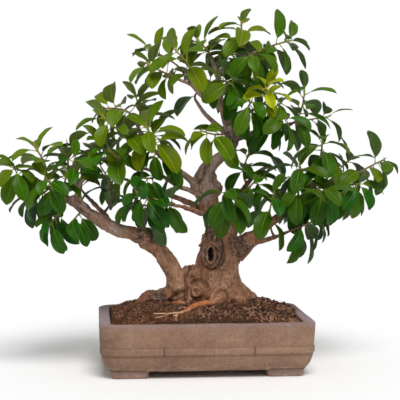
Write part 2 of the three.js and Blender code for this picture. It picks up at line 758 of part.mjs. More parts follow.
// Shortest distance between segments pq and rs
function segmentDistance(p, q, r, s) {
  const first = q.clone().sub(p);
  const second = s.clone().sub(r);
  const between = p.clone().sub(r);
  const a = first.dot(first);
  const b = first.dot(second);
  const c = second.dot(second);
  const d = first.dot(between);
  const e = second.dot(between);
  const scale = a * c - b * b;
  const clamp = (value) => Math.min(1, Math.max(0, value));
  let onFirst = scale > 1e-9 ? clamp((b * e - c * d) / scale) : 0;
  const onSecond = clamp((b * onFirst + e) / c);
  onFirst = clamp((b * onSecond - d) / a);
  return between.addScaledVector(first, onFirst).addScaledVector(second, -onSecond).length();
}

// Rods stand for the branches and twigs where the leaves' places are tested
function branchRods() {
  const rods = [];
  for (const { points } of Object.values(BRANCHES)) {
    for (let index = 0; index + 1 < points.length; index++) {
      const [start, end] = [points[index], points[index + 1]];
      rods.push({
        start: new THREE.Vector3(start[0], start[1], start[2]),
        end: new THREE.Vector3(end[0], end[1], end[2]),
        reach: Math.max(start[3], end[3]) + BRANCH_CLEARANCE,
      });
    }
  }
  return rods;
}

function twigRods(twig) {
  return twig.rings.slice(1).map((ring, index) => ({
    start: twig.rings[index].centre,
    end: ring.centre,
    reach: twig.rings[index].radius + TWIG_CLEARANCE,
    twig,
  }));
}

// A leaf's swollen blade and stalk, with their edges and faces, for the same tests
const BLADE_FACES = [...ringFaces(0, 4), ...ringFaces(4, 8), ...tipFaces(8)];
const BLADE_EDGES = BLADE_FACES.flatMap(([a, b, c]) => [[a, b], [b, c], [c, a]])
  .filter(([a, b]) => a < b);

function leafShape(leaf, twig) {
  const corners = leafCorners(leaf, [STALK_RING, ...BLADE_RINGS], LEAF_CLEARANCE);
  const edges = BLADE_EDGES.map(([a, b]) => [corners[a], corners[b]]);
  const faces = BLADE_FACES.map((face) => face.map((corner) => corners[corner]));
  const stalkEdges = [];
  const stalkFaces = [];
  for (const [index, root] of leaf.base.entries()) {
    for (let corner = 0; corner < 4; corner++) {
      stalkEdges.push([root, corners[corner]]);
      stalkFaces.push([root, corners[corner], corners[(corner + 1) % 4]]);
      stalkFaces.push([root, leaf.base[(index + 1) % 3], corners[corner]]);
    }
  }
  const box = new THREE.Box3().setFromPoints([...corners, ...leaf.base]);
  return { twig, edges, faces, stalkEdges, stalkFaces, box };
}

// Leaves of one twig meet at their stalks, so there only the blades are compared
function leavesCross(one, other) {
  if (!one.box.intersectsBox(other.box)) {
    return false;
  }
  const crosses = (edges, faces) => edges.some(([p, q]) => faces.some((face) => passesThrough(p, q, face)));
  if (one.twig === other.twig) {
    return crosses(one.edges, other.faces) || crosses(other.edges, one.faces);
  }
  const allEdges = ({ edges, stalkEdges }) => [...edges, ...stalkEdges];
  const allFaces = ({ faces, stalkFaces }) => [...faces, ...stalkFaces];
  return crosses(allEdges(one), allFaces(other)) || crosses(allEdges(other), allFaces(one));
}

// A leaf's stalk starts on its own twig, so there only the blade is tested
function touchesRod(shape, rod) {
  const near = shape.box.clone().expandByScalar(rod.reach);
  if (!near.intersectsBox(new THREE.Box3().setFromPoints([rod.start, rod.end]))) {
    return false;
  }
  const own = rod.twig === shape.twig;
  const faces = own ? shape.faces : [...shape.faces, ...shape.stalkFaces];
  const edges = own ? shape.edges : [...shape.edges, ...shape.stalkEdges];
  return (
    faces.some((face) => passesThrough(rod.start, rod.end, face)) ||
    edges.some(([p, q]) => segmentDistance(p, q, rod.start, rod.end) < rod.reach)
  );
}

// Gives each leaf the first try that stays clear of the branches, the twigs and the leaves before it
function placeLeaves(twigs) {
  const rods = [...branchRods(), ...twigs.flatMap(twigRods)];
  const placed = [];
  for (const twig of twigs) {
    const leaves = twig.shoot[3];
    twig.leaves = new Array(leaves).fill(null);
    for (let leaf = leaves - 1; leaf >= 0; leaf--) {
      for (let attempt = 0; attempt < TRIES_PER_LEAF && !twig.leaves[leaf]; attempt++) {
        const candidate = leafTry(twig, leaf, attempt);
        const shape = leafShape(candidate, twig);
        const blocked =
          rods.some((rod) => touchesRod(shape, rod)) || placed.some((other) => leavesCross(shape, other));
        if (!blocked) {
          twig.leaves[leaf] = candidate;
          placed.push(shape);
        }
      }
    }
  }
}

// One shoot as one closed surface: the twig's sides, with a leaf in place of one triangle of each step
function buildShoot(twig) {
  const points = twig.rings.flatMap((ring) => ring.points);
  const faces = [[0, 2, 1]];
  const leaves = twig.shoot[3];
  for (let row = 0; row + 1 < twig.rings.length; row++) {
    for (let face = 0; face < 3; face++) {
      const a = row * 3 + face;
      const b = row * 3 + ((face + 1) % 3);
      faces.push([a, b, b + 3]);
      const leaf = row - BARE_RINGS;
      if (!(leaf >= 0 && leaf % 3 === face && twig.leaves[leaf])) {
        faces.push([a, b + 3, a + 3]);
      }
    }
  }
  for (let leaf = 0; leaf < leaves; leaf++) {
    const base = baseCorners(leaf, leaves).map(([row, corner]) => row * 3 + corner);
    if (twig.leaves[leaf]) {
      addLeaf(points, faces, base, twig.leaves[leaf]);
    } else if (leaf === leaves - 1) {
      faces.push(base);
    }
  }
  return indexedGeometry(points.flatMap((point) => [point.x, point.y, point.z]), faces.flat());
}

// Joins a leaf to the three corners of its base, turned so that it twists least
function addLeaf(points, faces, base, leaf) {
  const first = points.length;
  const corners = leafCorners(leaf, BLADE_RINGS, 0);
  const [under, one, , other] = corners;
  const targets = [under, one, other];
  const turned = (shift) => base.map((_, index) => base[(index + shift) % 3]);
  const twist = (order) =>
    order.reduce((sum, corner, index) => {
      const outward = targets[index].clone().sub(ribPoint(leaf, BLADE_RINGS[0].place).point).normalize();
      return sum - outward.dot(points[corner].clone().sub(leaf.start));
    }, 0);
  const order = [turned(0), turned(1), turned(2)].sort((a, b) => twist(a) - twist(b))[0];
  const leafFaces = [...baseFaces(order, first), ...ringFaces(first, first + 4), ...tipFaces(first + 4)];
  points.push(...corners);
  faces.push(...leafFaces);
}

function paint(geometry, name, colour, roughness) {
  const flat = geometry.toNonIndexed();
  flat.computeVertexNormals();
  const material = new THREE.MeshStandardMaterial({ color: colour, roughness, metalness: 0 });
  const mesh = new THREE.Mesh(flat, material);
  mesh.name = name;
  return mesh;
}

// The whole plant in its pot, moved so that the origin lies under the middle of its outline
const plant = new THREE.Group();
plant.add(paint(buildPot(), "pot", COLOURS.clay, 0.85));
plant.add(paint(buildDrainMesh(), "drain_mesh", COLOURS.mesh, 0.6));
plant.add(paint(toGeometry(buildSoil().subtract(rootBall(GAP))), "soil", COLOURS.soil, 1));
plant.add(paint(toGeometry(buildTrunk()), "trunk", COLOURS.bark, 0.9));

const twigs = SHOOTS.map(buildTwig);
placeLeaves(twigs);
for (const twig of twigs) {
  const name = `shoot_${String(twig.number + 1).padStart(2, "0")}`;
  plant.add(paint(buildShoot(twig), name, COLOURS[twig.shoot[6]], 0.5));
}

const middle = new THREE.Box3().setFromObject(plant).getCenter(new THREE.Vector3());
plant.position.set(-middle.x, -middle.y, 0);

const part = new THREE.Group();
part.add(plant);
export default part;
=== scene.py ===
"""Potted ficus bonsai: detailed leaves, twigs, bark, soil and clay pot in place of the plain solids.

Lengths are in millimetres in the pot's own frame (its centre at x = 0, y = 0, its feet on z = 0)
until a mesh is made, where they become metres in the frame of the whole plant.
"""

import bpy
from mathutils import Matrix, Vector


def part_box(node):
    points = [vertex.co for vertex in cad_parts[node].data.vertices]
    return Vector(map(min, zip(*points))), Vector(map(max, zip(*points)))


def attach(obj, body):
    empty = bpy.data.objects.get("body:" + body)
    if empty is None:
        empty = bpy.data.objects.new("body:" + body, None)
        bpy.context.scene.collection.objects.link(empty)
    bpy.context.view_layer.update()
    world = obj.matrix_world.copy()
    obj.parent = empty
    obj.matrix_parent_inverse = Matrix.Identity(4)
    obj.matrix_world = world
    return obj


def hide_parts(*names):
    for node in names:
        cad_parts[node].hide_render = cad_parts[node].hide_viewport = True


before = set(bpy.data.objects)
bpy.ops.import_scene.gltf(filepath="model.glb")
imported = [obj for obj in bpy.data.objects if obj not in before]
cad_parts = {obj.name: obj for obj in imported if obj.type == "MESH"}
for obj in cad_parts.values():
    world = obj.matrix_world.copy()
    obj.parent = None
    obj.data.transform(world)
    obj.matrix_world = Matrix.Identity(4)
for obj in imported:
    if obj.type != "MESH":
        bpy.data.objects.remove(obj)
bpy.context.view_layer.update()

import math

import bmesh
import bpy
import numpy as np
from mathutils import Matrix, Vector, noise
from mathutils.bvhtree import BVHTree

MM = 0.001
TAU = 2 * math.pi
UP = np.array([0.0, 0.0, 1.0])

pot_low, pot_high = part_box("pot")
SHIFT = np.array([(pot_low.x + pot_high.x) / 2, (pot_low.y + pot_high.y) / 2, 0.0]) / MM

# Pot
POT_LENGTH = 348
POT_WIDTH = 256
POT_HEIGHT = 88
POT_CORNER = 30
RIM_WIDTH = 19
BAND_BOTTOM = 39
BAND_TOP = 50
BAND_JOINT_X = 72
FOOT_LENGTH = 60
FOOT_WIDTH = 44
FOOT_INSET = 19
FOOT_CORNER = 9
DRAIN_RADIUS = 11
DRAIN_X = 80

# Soil
SOIL_EDGE_Z = 83
MOUND_RISE = 31
MOUND_CENTRE = (0, 4)

# Leaves and twigs, as in the solids
GAP = 0.3
LEAF_LENGTH = 60
LIFT = 0.3
LIFT_LOST_TO_DROOP = 1.35
LIFT_UP_THE_TWIG = 0.25
ALONG_TWIG = 0.25
ALONG_TWIG_GAIN = 0.35
YOUNG_LOSS = 0.28
LEAST_BEND = 0.75
BEND_RANGE = 0.7
LEAF_WIDTH = 27
FOLD = 0.3
TWIG_BASE_RADIUS = 1.8
TWIG_TIP_RADIUS = 1.2
GOLDEN_ANGLE = math.radians(137.5)
TRIES_PER_LEAF = 40
TWIG_BEND = 0.42
TWIG_SIDE = np.array([0.6, -0.3, 0.74])
INTERNODE = 6.4
MOST_LEAFY = 0.78
BARE_RINGS = 2
TIP_MATCH = 0.05

# Branches, thickest first: points (x, y, z, radius) along each centre line
BRANCHES = {
    "stem": [
        (26, 0, 60, 44), (26, 0, 108, 48), (26, 0, 127, 44), (24, 0, 153, 38), (25, 0, 175, 36),
        (28, 0, 198, 32), (28, 0, 219, 29), (23, 2, 239, 22), (15, 4, 259, 16), (10, 4, 279, 17),
        (6, 3, 299, 22), (6, 3, 316, 20), (11, 4, 333, 13), (23, 6, 345, 10), (39, 8, 358, 9.5),
        (49, 10, 376, 13), (49, 10, 392, 8), (41, 10, 407, 6), (36, 12, 427, 5.5),
        (31, 14, 454, 5), (29, 16, 477, 4.5), (24, 18, 498, 4), (16, 20, 519, 3),
    ],
    "left": [
        (-12, -6, 96, 34), (-22, -8, 119, 30), (-42, -12, 140, 21), (-48, -14, 157, 16),
        (-60, -18, 179, 15), (-76, -22, 199, 13.5), (-97, -25, 218, 18), (-117, -22, 225, 12),
        (-142, -18, 231, 11.5), (-165, -14, 243, 11), (-188, -12, 258, 10.5), (-206, -12, 273, 9),
        (-227, -12, 284, 7), (-247, -10, 296, 6), (-266, -10, 307, 5), (-286, -10, 321, 4.5),
    ],
    "right": [
        (54, 2, 188, 19), (74, 0, 208, 16), (92, -4, 220, 11), (111, 0, 237, 8), (137, 6, 253, 7),
        (167, 8, 266, 6), (197, 6, 282, 5), (228, 4, 299, 4), (255, 4, 317, 3.5),
    ],
    "second": [
        (46, 12, 208, 13), (56, 20, 234, 8), (60, 26, 257, 6.5), (65, 30, 281, 5.5),
        (80, 34, 305, 4.5), (100, 36, 325, 3.6), (119, 36, 337, 3),
    ],
    "lowright": [
        (79, -6, 206, 8), (98, -18, 211, 5), (118, -27, 218, 3.6), (134, -32, 225, 3),
    ],
    "grey": [
        (2, 0, 300, 9), (-20, -6, 313, 6.5), (-42, -12, 330, 5), (-65, -14, 348, 4.2),
        (-85, -14, 367, 3.6), (-102, -12, 390, 3), (-115, -10, 416, 2.6),
    ],
    "red": [
        (3, -4, 286, 8), (-19, -14, 295, 5), (-43, -22, 304, 4.2), (-70, -30, 321, 3.4),
        (-93, -34, 331, 2.8), (-119, -34, 337, 2.4),
    ],
    "low": [
        (15, -8, 253, 8), (-6, -22, 259, 4.6), (-30, -36, 268, 4), (-54, -50, 274, 3.4),
        (-78, -60, 279, 2.8),
    ],
    "front": [
        (22, -8, 243, 7), (28, -34, 256, 4.5), (33, -62, 272, 3.2),
    ],
    "fork": [
        (-204, -12, 270, 7), (-207, -10, 291, 5.5), (-206, -8, 305, 4.6), (-194, -6, 319, 3.4),
        (-186, -4, 333, 2.8),
    ],
    "leftback": [
        (-152, -15, 236, 7), (-166, 22, 256, 5), (-192, 62, 282, 3.4),
    ],
    "backleft": [
        (14, 8, 255, 9), (-18, 44, 272, 5.5), (-72, 84, 292, 4.2), (-124, 108, 310, 3),
    ],
    "rightback": [
        (124, 3, 245, 6), (150, 44, 268, 5), (196, 80, 288, 3.4),
    ],
    "rightup": [
        (184, 6, 275, 5.5), (192, 6, 304, 4), (198, 0, 338, 2.8),
    ],
    "knee": [
        (49, 10, 382, 8), (69, 4, 386, 5.5), (90, -2, 393, 4), (113, -6, 398, 3.4),
        (138, -8, 402, 2.8),
    ],
    "east": [
        (42, 10, 404, 5), (60, 2, 418, 3.8), (79, -8, 427, 3), (98, -16, 438, 2.6),
    ],
    "west": [
        (34, 12, 432, 5), (13, 8, 444, 4.2), (-5, 4, 457, 3.8), (-18, 0, 471, 3.2),
        (-38, -6, 479, 2.6),
    ],
    "backtop": [
        (46, 12, 388, 7), (30, 44, 404, 4.6), (10, 72, 426, 3.6), (-3, 92, 448, 2.8),
    ],
    "backcrown": [
        (31, 15, 456, 4.5), (58, 46, 468, 3.6), (76, 66, 475, 2.8),
    ],
    "top": [
        (26, 18, 490, 4), (44, 14, 505, 3.4), (69, 10, 517, 3), (90, 8, 527, 2.6),
    ],
}

ROOTS = [
    [(38, -4, 136, 20), (64, -8, 122, 16), (90, -12, 103, 10), (118, -16, 84, 6)],
    [(-44, -8, 122, 20), (-72, -8, 118, 14), (-92, -6, 116, 12), (-110, -4, 102, 8), (-126, -2, 86, 5)],
    [(18, -30, 124, 20), (18, -50, 110, 13), (8, -64, 97, 7)],
    [(50, -20, 116, 20), (64, -40, 99, 13), (78, -60, 82, 6)],
    [(-22, -20, 114, 18), (-34, -40, 98, 12), (-46, -58, 82, 6)],
    [(40, 26, 124, 20), (60, 54, 104, 12), (78, 76, 84, 6)],
    [(10, 30, 124, 20), (-6, 58, 104, 12), (-20, 80, 84, 6)],
    [(-34, 8, 118, 18), (-60, 32, 104, 11), (-82, 50, 86, 6)],
]

# Lumps on the bark: centre and half sizes
LUMPS = [
    ((-13, -38, 132), (14, 10, 14)),
    ((-20, -5, 151), (22, 20, 20)),
    ((58, -16, 194), (14, 14, 16)),
]

# Oval knot on the front of the trunk, and the upright slit in it
KNOT_AT = np.array([13.0, -30.0, 192.0])
KNOT_HALF_WIDTH = 13
KNOT_HALF_HEIGHT = 17
KNOT_RING = 6
KNOT_RING_ROWS = 40
KNOT_RING_SIDES = 12
SLIT_AT = (10.5, 191)
SLIT_HALF_WIDTH = 4.5
SLIT_HALF_HEIGHT = 11.5
KNOT_DEPTH = 12

# Shoots: branch, place along its points, end of the twig, leaves, droop, leaf scale and leaf colour
SHOOTS = [
    ("left", 14, (-275, -22, 365), 11, 0.1, 1, "bright"),
    ("left", 15, (-309, -45, 333), 10, 0.35, 1, "middle"),
    ("left", 13.2, (-256, -60, 316), 10, 0.55, 1, "middle"),
    ("left", 12.6, (-225, 0, 372), 10, 0.05, 1, "bright"),
    ("left", 13.5, (-285, 10, 287), 9, 0.9, 1, "dark"),
    ("left", 11.9, (-250, -48, 246), 9, 1.1, 1.05, "dark"),
    ("left", 10.6, (-216, -52, 249), 6, 1, 0.95, "dark"),
    ("fork", 4, (-166, -14, 372), 10, 0.2, 0.9, "bright"),
    ("fork", 2, (-212, -45, 347), 9, 0.3, 0.95, "middle"),
    ("leftback", 2, (-229, 95, 332), 10, 0.3, 1, "dark"),
    ("leftback", 1, (-168, 75, 332), 10, 0.3, 1, "dark"),
    ("grey", 6, (-156, -8, 432), 10, 0.35, 1, "bright"),
    ("grey", 5, (-166, -42, 416), 10, 0.3, 1, "bright"),
    ("grey", 5.5, (-109, 8, 446), 9, 0, 0.9, "bright"),
    ("grey", 4, (-95, -55, 401), 11, 0.5, 1.1, "bright"),
    ("grey", 4.4, (-78, 35, 400), 10, 0.2, 1, "middle"),
    ("grey", 3, (-88, -52, 364), 9, 0.7, 1.05, "middle"),
    ("red", 5, (-155, -42, 363), 10, 0.5, 1, "middle"),
    ("red", 3.4, (-107, -66, 319), 9, 0.8, 1, "dark"),
    ("backleft", 3, (-170, 126, 354), 10, 0.3, 1, "dark"),
    ("low", 4, (-112, -84, 296), 10, 0.9, 1.05, "dark"),
    ("low", 3, (-79, -84, 284), 10, 1, 1, "dark"),
    ("low", 3.6, (-123, -55, 278), 9, 0.9, 1.05, "dark"),
    ("west", 4, (-88, -12, 503), 11, 0.2, 1, "bright"),
    ("west", 3.3, (-47, -50, 523), 10, 0.2, 1, "bright"),
    ("west", 3.6, (-88, -2, 529), 9, 0.3, 1, "bright"),
    ("stem", 22, (-5, 14, 544), 11, 0.1, 1, "bright"),
    ("backtop", 3, (34, 108, 486), 10, 0.3, 1, "dark"),
    ("stem", 16.2, (-5, -50, 394), 9, 0.7, 0.95, "bright"),
    ("top", 3, (144, -4, 545), 11, 0.35, 1, "middle"),
    ("top", 2.4, (64, -8, 571), 10, 0.4, 1, "bright"),
    ("top", 2.7, (78, -42, 519), 9, 0.8, 1, "middle"),
    ("top", 1.5, (55, 45, 530), 10, 0.2, 1, "middle"),
    ("backcrown", 2, (101, 95, 489), 10, 0.4, 1, "dark"),
    ("stem", 20, (45, -42, 470), 10, 0.5, 1, "middle"),
    ("east", 3, (100, -48, 465), 10, 0, 0.75, "lime"),
    ("east", 2, (75, -52, 442), 9, 0.6, 1, "middle"),
    ("east", 2.6, (128, -30, 442), 10, 0.6, 1.05, "middle"),
    ("knee", 4, (171, -7, 460), 11, 0.3, 1, "middle"),
    ("knee", 3, (131, -50, 416), 9, 0.8, 1.05, "dark"),
    ("knee", 3.5, (215, 20, 419), 10, 0.2, 1, "middle"),
    ("rightup", 2, (200, -15, 375), 11, 0.5, 1.1, "middle"),
    ("rightup", 1, (156, -50, 339), 10, 0.7, 1.1, "dark"),
    ("right", 8, (306, 0, 345), 10, 0.7, 1, "middle"),
    ("right", 7.4, (256, -40, 307), 10, 1, 1.1, "dark"),
    ("right", 7, (257, 30, 346), 10, 0.3, 1, "middle"),
    ("right", 6, (195, -65, 298), 10, 0.9, 1.1, "dark"),
    ("right", 5, (151, -73, 304), 10, 0.8, 1.1, "dark"),
    ("second", 3.4, (89, -34, 317), 10, 0.6, 1, "middle"),
    ("second", 4, (78, 8, 355), 10, 0.4, 1, "middle"),
    ("rightback", 2, (266, 110, 312), 10, 0.4, 1, "dark"),
    ("rightback", 1, (180, 96, 325), 10, 0.4, 1, "dark"),
    ("lowright", 3, (192, -48, 250), 10, 1.0, 1.05, "dark"),
    ("lowright", 2, (110, -62, 288), 7, 0.6, 1, "dark"),
    ("right", 4, (131, -55, 290), 10, 0.8, 1.1, "dark"),
    ("front", 2, (30, -90, 296), 10, 1, 1.1, "dark"),
]


# Making meshes

def to_world(points):
    return (np.asarray(points, float) + SHIFT) * MM


def link_object(name, data):
    piece = bpy.data.objects.new(name, data)
    bpy.context.scene.collection.objects.link(piece)
    return piece


def shade_faces(mesh, smooth=True):
    mesh.polygons.foreach_set("use_smooth", np.full(len(mesh.polygons), smooth))


def give_material(mesh, item):
    mesh.materials.clear()
    mesh.materials.append(item)


def applied_mesh(piece):
    """The piece's mesh with its modifiers applied."""
    evaluated = piece.evaluated_get(bpy.context.evaluated_depsgraph_get())
    return bpy.data.meshes.new_from_object(evaluated)


def new_object(name, points, faces, materials, face_slots=None):
    mesh = bpy.data.meshes.new(name)
    mesh.from_pydata(to_world(points).tolist(), [], faces)
    for item in materials:
        mesh.materials.append(item)
    if face_slots is not None:
        mesh.polygons.foreach_set("material_index", np.asarray(face_slots, np.int32))
    shade_faces(mesh)
    mesh.update()
    return link_object(name, mesh)


def set_point_colour(mesh, name, values):
    attribute = mesh.attributes.new(name, "FLOAT_COLOR", "POINT")
    colours = np.ones((len(mesh.vertices), 4), np.float32)
    colours[:, :3] = values
    attribute.data.foreach_set("color", colours.ravel())


def read_numbers(items, name, kind=np.int32, each=1):
    """One value of every item, or several where each item has more."""
    values = np.zeros(len(items) * each, kind)
    items.foreach_get(name, values)
    return values


def set_uv(mesh, name, point_uv):
    layer = mesh.uv_layers.new(name=name)
    corners = read_numbers(mesh.loops, "vertex_index")
    layer.data.foreach_set("uv", np.asarray(point_uv, np.float32)[corners].ravel())


def read_vectors(mesh, name):
    """The mesh's points ("co") or normals ("normal") as rows."""
    return read_numbers(mesh.vertices, name, float, 3).reshape(-1, 3)


def read_points(mesh):
    """The mesh's points in millimetres in the pot's frame."""
    return read_vectors(mesh, "co") / MM - SHIFT


def move_points(mesh, points):
    mesh.vertices.foreach_set("co", to_world(points).astype(np.float32).ravel())
    mesh.update()


def unit(vector):
    return vector / np.linalg.norm(vector)


def columns(*parts):
    """Rows of numbers from a list or one number for each column."""
    return np.stack(np.broadcast_arrays(*parts), axis=1)


def bell(distance, width):
    """1 at no distance, falling evenly to both sides."""
    return np.exp(-(distance / width) ** 2)


def round_turn(count):
    """Evenly spaced angles round a full turn."""
    return np.arange(count) / count * TAU


def smooth_step(value, low, high):
    share = np.clip((value - low) / (high - low), 0, 1)
    return share * share * (3 - 2 * share)


# Paths, rings and lofts

def smooth_path(points, step):
    """Points on a smooth curve through the given points, about a step apart."""
    given = np.array(points, float)
    padded = np.vstack([2 * given[0] - given[1], given, 2 * given[-1] - given[-2]])
    found = []
    for index in range(len(given) - 1):
        before, start, end, after = padded[index:index + 4]
        count = max(2, int(np.linalg.norm((end - start)[:3]) / step))
        for t in np.arange(count) / count:
            found.append(0.5 * (
                2 * start + (end - before) * t
                + (2 * before - 5 * start + 4 * end - after) * t * t
                + (3 * start - before - 3 * end + after) * t * t * t
            ))
    found.append(given[-1])
    return np.array(found)


def tube_rings(path, sides, first_side=(0.0, 1.0, 0.0)):
    """Rings round a path of (x, y, z, radius)."""
    centres = path[:, :3]
    tangents = np.gradient(centres, axis=0)
    angles = round_turn(sides)
    side = np.array(first_side, float)
    rings = []
    for centre, tangent, radius in zip(centres, tangents, path[:, 3]):
        tangent = unit(tangent)
        side = unit(side - tangent * side.dot(tangent))
        across = np.cross(tangent, side)
        ring = np.outer(np.cos(angles), side) + np.outer(np.sin(angles), across)
        rings.append(centre + radius * ring)
    return rings


def grid_faces(grid):
    """Four-sided faces between the neighbours in a grid of point numbers."""
    corners = [grid[:-1, :-1], grid[:-1, 1:], grid[1:, 1:], grid[1:, :-1]]
    return np.stack(corners, axis=-1).reshape(-1, 4).tolist()


def wrapped_faces(grid):
    """The faces of a grid whose last column meets its first."""
    return grid_faces(np.hstack([grid, grid[:, :1]]))


def loft(rings, closed_ends=True):
    """Points and faces of a surface through rings with equal numbers of points."""
    points = np.vstack(rings)
    grid = np.arange(len(points)).reshape(len(rings), -1)
    faces = wrapped_faces(grid)
    if closed_ends:
        faces += [grid[0, ::-1].tolist(), grid[-1].tolist()]
    return points, faces


def rounded_end(path):
    """Adds a short rounded tip to a path."""
    end, before = path[-1], path[-2]
    along = unit((end - before)[:3])
    tips = []
    for share, shrink in ((0.35, 0.92), (0.7, 0.66), (0.9, 0.36)):
        tip = end.copy()
        tip[:3] += along * end[3] * share
        tip[3] = end[3] * shrink
        tips.append(tip)
    return np.vstack([path, tips])


class Pile:
    """Gathers points, faces and values of many small forms into one mesh."""

    def __init__(self):
        self.points, self.faces, self.slots, self.values, self.uvs, self.count = [], [], [], [], [], 0

    def add(self, points, faces, slot=0, values=None, uvs=None):
        self.points.append(points)
        self.faces.extend(tuple(corner + self.count for corner in face) for face in faces)
        self.slots.extend([slot] * len(faces) if np.isscalar(slot) else slot)
        self.values.append(np.broadcast_to((0, 0, 0) if values is None else values, (len(points), 3)))
        self.uvs.append(np.zeros((len(points), 2)) if uvs is None else uvs)
        self.count += len(points)

    def build(self, name, materials, value_name=None, uv_name=None):
        piece = new_object(name, np.vstack(self.points), self.faces, materials, self.slots)
        if value_name:
            set_point_colour(piece.data, value_name, np.vstack(self.values))
        if uv_name:
            set_uv(piece.data, uv_name, np.vstack(self.uvs))
        return piece


# Materials

def linear(red, green, blue):
    """A colour given in 0 to 255 screen values."""
    parts = []
    for value in (red, green, blue):
        share = value / 255
        parts.append(share / 12.92 if share <= 0.04045 else ((share + 0.055) / 1.055) ** 2.4)
    return (*parts, 1.0)


class Shader:
    """A material with a Principled shader and short names for the nodes it needs."""

    def __init__(self, name):
        self.material = bpy.data.materials.new(name)
        self.material.use_nodes = True
        self.tree = self.material.node_tree
        self.surface = self.tree.nodes["Principled BSDF"]
        self.place = self.tree.nodes.new("ShaderNodeTexCoord").outputs["Object"]
        self.colour = None

    def feed(self, socket, value):
        if isinstance(value, bpy.types.NodeSocket):
            self.tree.links.new(value, socket)
        else:
            socket.default_value = value

    def set(self, **inputs):
        for name, value in inputs.items():
            self.feed(self.surface.inputs[name.replace("_", " ")], value)

    def finished(self, roughness, specular):
        """The material with its last values set."""
        self.set(Base_Color=self.colour, Roughness=roughness, Specular_IOR_Level=specular)
        return self.material

    def node(self, kind, inputs, **settings):
        made = self.tree.nodes.new("ShaderNode" + kind)
        for name, value in settings.items():
            setattr(made, name, value)
        for name, value in inputs.items():
            self.feed(made.inputs[name], value)
        return made

    def noise(self, scale, detail=4.0, rough=0.55, vector=None, distortion=0.0):
        inputs = {"Vector": vector or self.place, "Scale": scale, "Detail": detail, "Roughness": rough,
                  "Distortion": distortion}
        return self.node("TexNoise", inputs).outputs["Fac"]

    def cells(self, scale, feature="F1", vector=None):
        inputs = {"Vector": vector or self.place, "Scale": scale, "Randomness": 1.0}
        return self.node("TexVoronoi", inputs, feature=feature).outputs["Distance"]

    def stretched(self, x, y, z):
        return self.node("Mapping", {"Vector": self.place, "Scale": (x, y, z)}).outputs["Vector"]

    def bent(self, vector, noise_colour, amount):
        """A vector pushed about by a noise's colour."""
        centred = {0: noise_colour, 1: (0.5, 0.5, 0.5)}
        push = self.node("VectorMath", centred, operation="SUBTRACT").outputs[0]
        push = self.node("VectorMath", {0: push, "Scale": amount}, operation="SCALE").outputs[0]
        return self.node("VectorMath", {0: vector, 1: push}, operation="ADD").outputs[0]

    def math(self, operation, first, second=0.0, clamp=False):
        return self.node("Math", {0: first, 1: second}, operation=operation, use_clamp=clamp).outputs[0]

    def times(self, first, second):
        return self.math("MULTIPLY", first, second)

    def plus(self, first, second, clamp=False):
        return self.math("ADD", first, second, clamp)

    def total(self, parts):
        """The sum of (value, factor) parts."""
        result = self.times(*parts[0])
        for part in parts[1:]:
            result = self.plus(result, self.times(*part))
        return result

    def span(self, value, low, high, to_low=0.0, to_high=1.0):
        inputs = {"Value": value, "From Min": low, "From Max": high}
        inputs.update({"To Min": to_low, "To Max": to_high})
        return self.node("MapRange", inputs, interpolation_type="SMOOTHSTEP").outputs["Result"]

    def mix(self, share, first, second):
        made = self.tree.nodes.new("ShaderNodeMix")
        made.data_type = "RGBA"
        self.feed(made.inputs["Factor"], share)
        self.feed(made.inputs[6], first)
        self.feed(made.inputs[7], second)
        return made.outputs[2]

    def layer(self, share, colour):
        """Covers a share of the colour so far with another."""
        self.colour = self.mix(share, self.colour, colour)

    def cover(self, share, screen_colour):
        """Covers a share of the colour so far with one given in screen values."""
        self.layer(share, linear(*screen_colour))

    def ramp(self, share, stops):
        made = self.tree.nodes.new("ShaderNodeValToRGB")
        self.feed(made.inputs["Fac"], share)
        elements = made.color_ramp.elements
        while len(elements) < len(stops):
            elements.new(0.5)
        for element, (position, colour) in zip(elements, stops):
            element.position = position
            element.color = linear(*colour)
        return made.outputs["Color"]

    def bump(self, height, distance, strength=1.0):
        inputs = {"Height": height, "Distance": distance, "Strength": strength}
        normal = self.node("Bump", inputs).outputs["Normal"]
        self.feed(self.surface.inputs["Normal"], normal)

    def split(self, name):
        """The three parts of a point colour."""
        colour = self.node("Attribute", {}, attribute_name=name).outputs["Color"]
        parts = self.node("SeparateColor", {"Color": colour})
        return parts.outputs["Red"], parts.outputs["Green"], parts.outputs["Blue"]


# Leaf colours: deep and light upper side, underside, rib
LEAF_COLOURS = {
    "dark": ((12, 60, 2), (25, 89, 6), (98, 108, 82), (106, 138, 30)),
    "middle": ((27, 76, 0), (54, 107, 1), (104, 114, 78), (120, 150, 32)),
    "bright": ((66, 98, 0), (94, 127, 0), (112, 122, 72), (152, 168, 34)),
    "lime": ((144, 162, 0), (194, 206, 8), (168, 180, 50), (214, 216, 70)),
}


def leaf_patterns(shader):
    """Shares of the midrib and of the side veins over a leaf, from its own flat coordinates."""
    uv = shader.node("UVMap", {}, uv_map="Leaf").outputs["UV"]
    parts = shader.node("SeparateXYZ", {"Vector": uv})
    from_rib = shader.math("ABSOLUTE", shader.math("SUBTRACT", parts.outputs["X"], 0.5))
    across = shader.times(from_rib, 2.0)
    along = parts.outputs["Y"]
    width = shader.span(along, 0.0, 1.0, 0.085, 0.035)
    rib = shader.span(shader.math("DIVIDE", across, width), 0.3, 1.15, 1.0, 0.0)
    phase = shader.math("SUBTRACT", along, shader.times(across, 0.2))
    phase = shader.math("PINGPONG", shader.times(phase, 13.0), 0.5)
    veins = shader.span(phase, 0.0, 0.09, 1.0, 0.0)
    veins = shader.times(veins, shader.span(across, 0.7, 0.95, 1.0, 0.0))
    return across, along, rib, veins


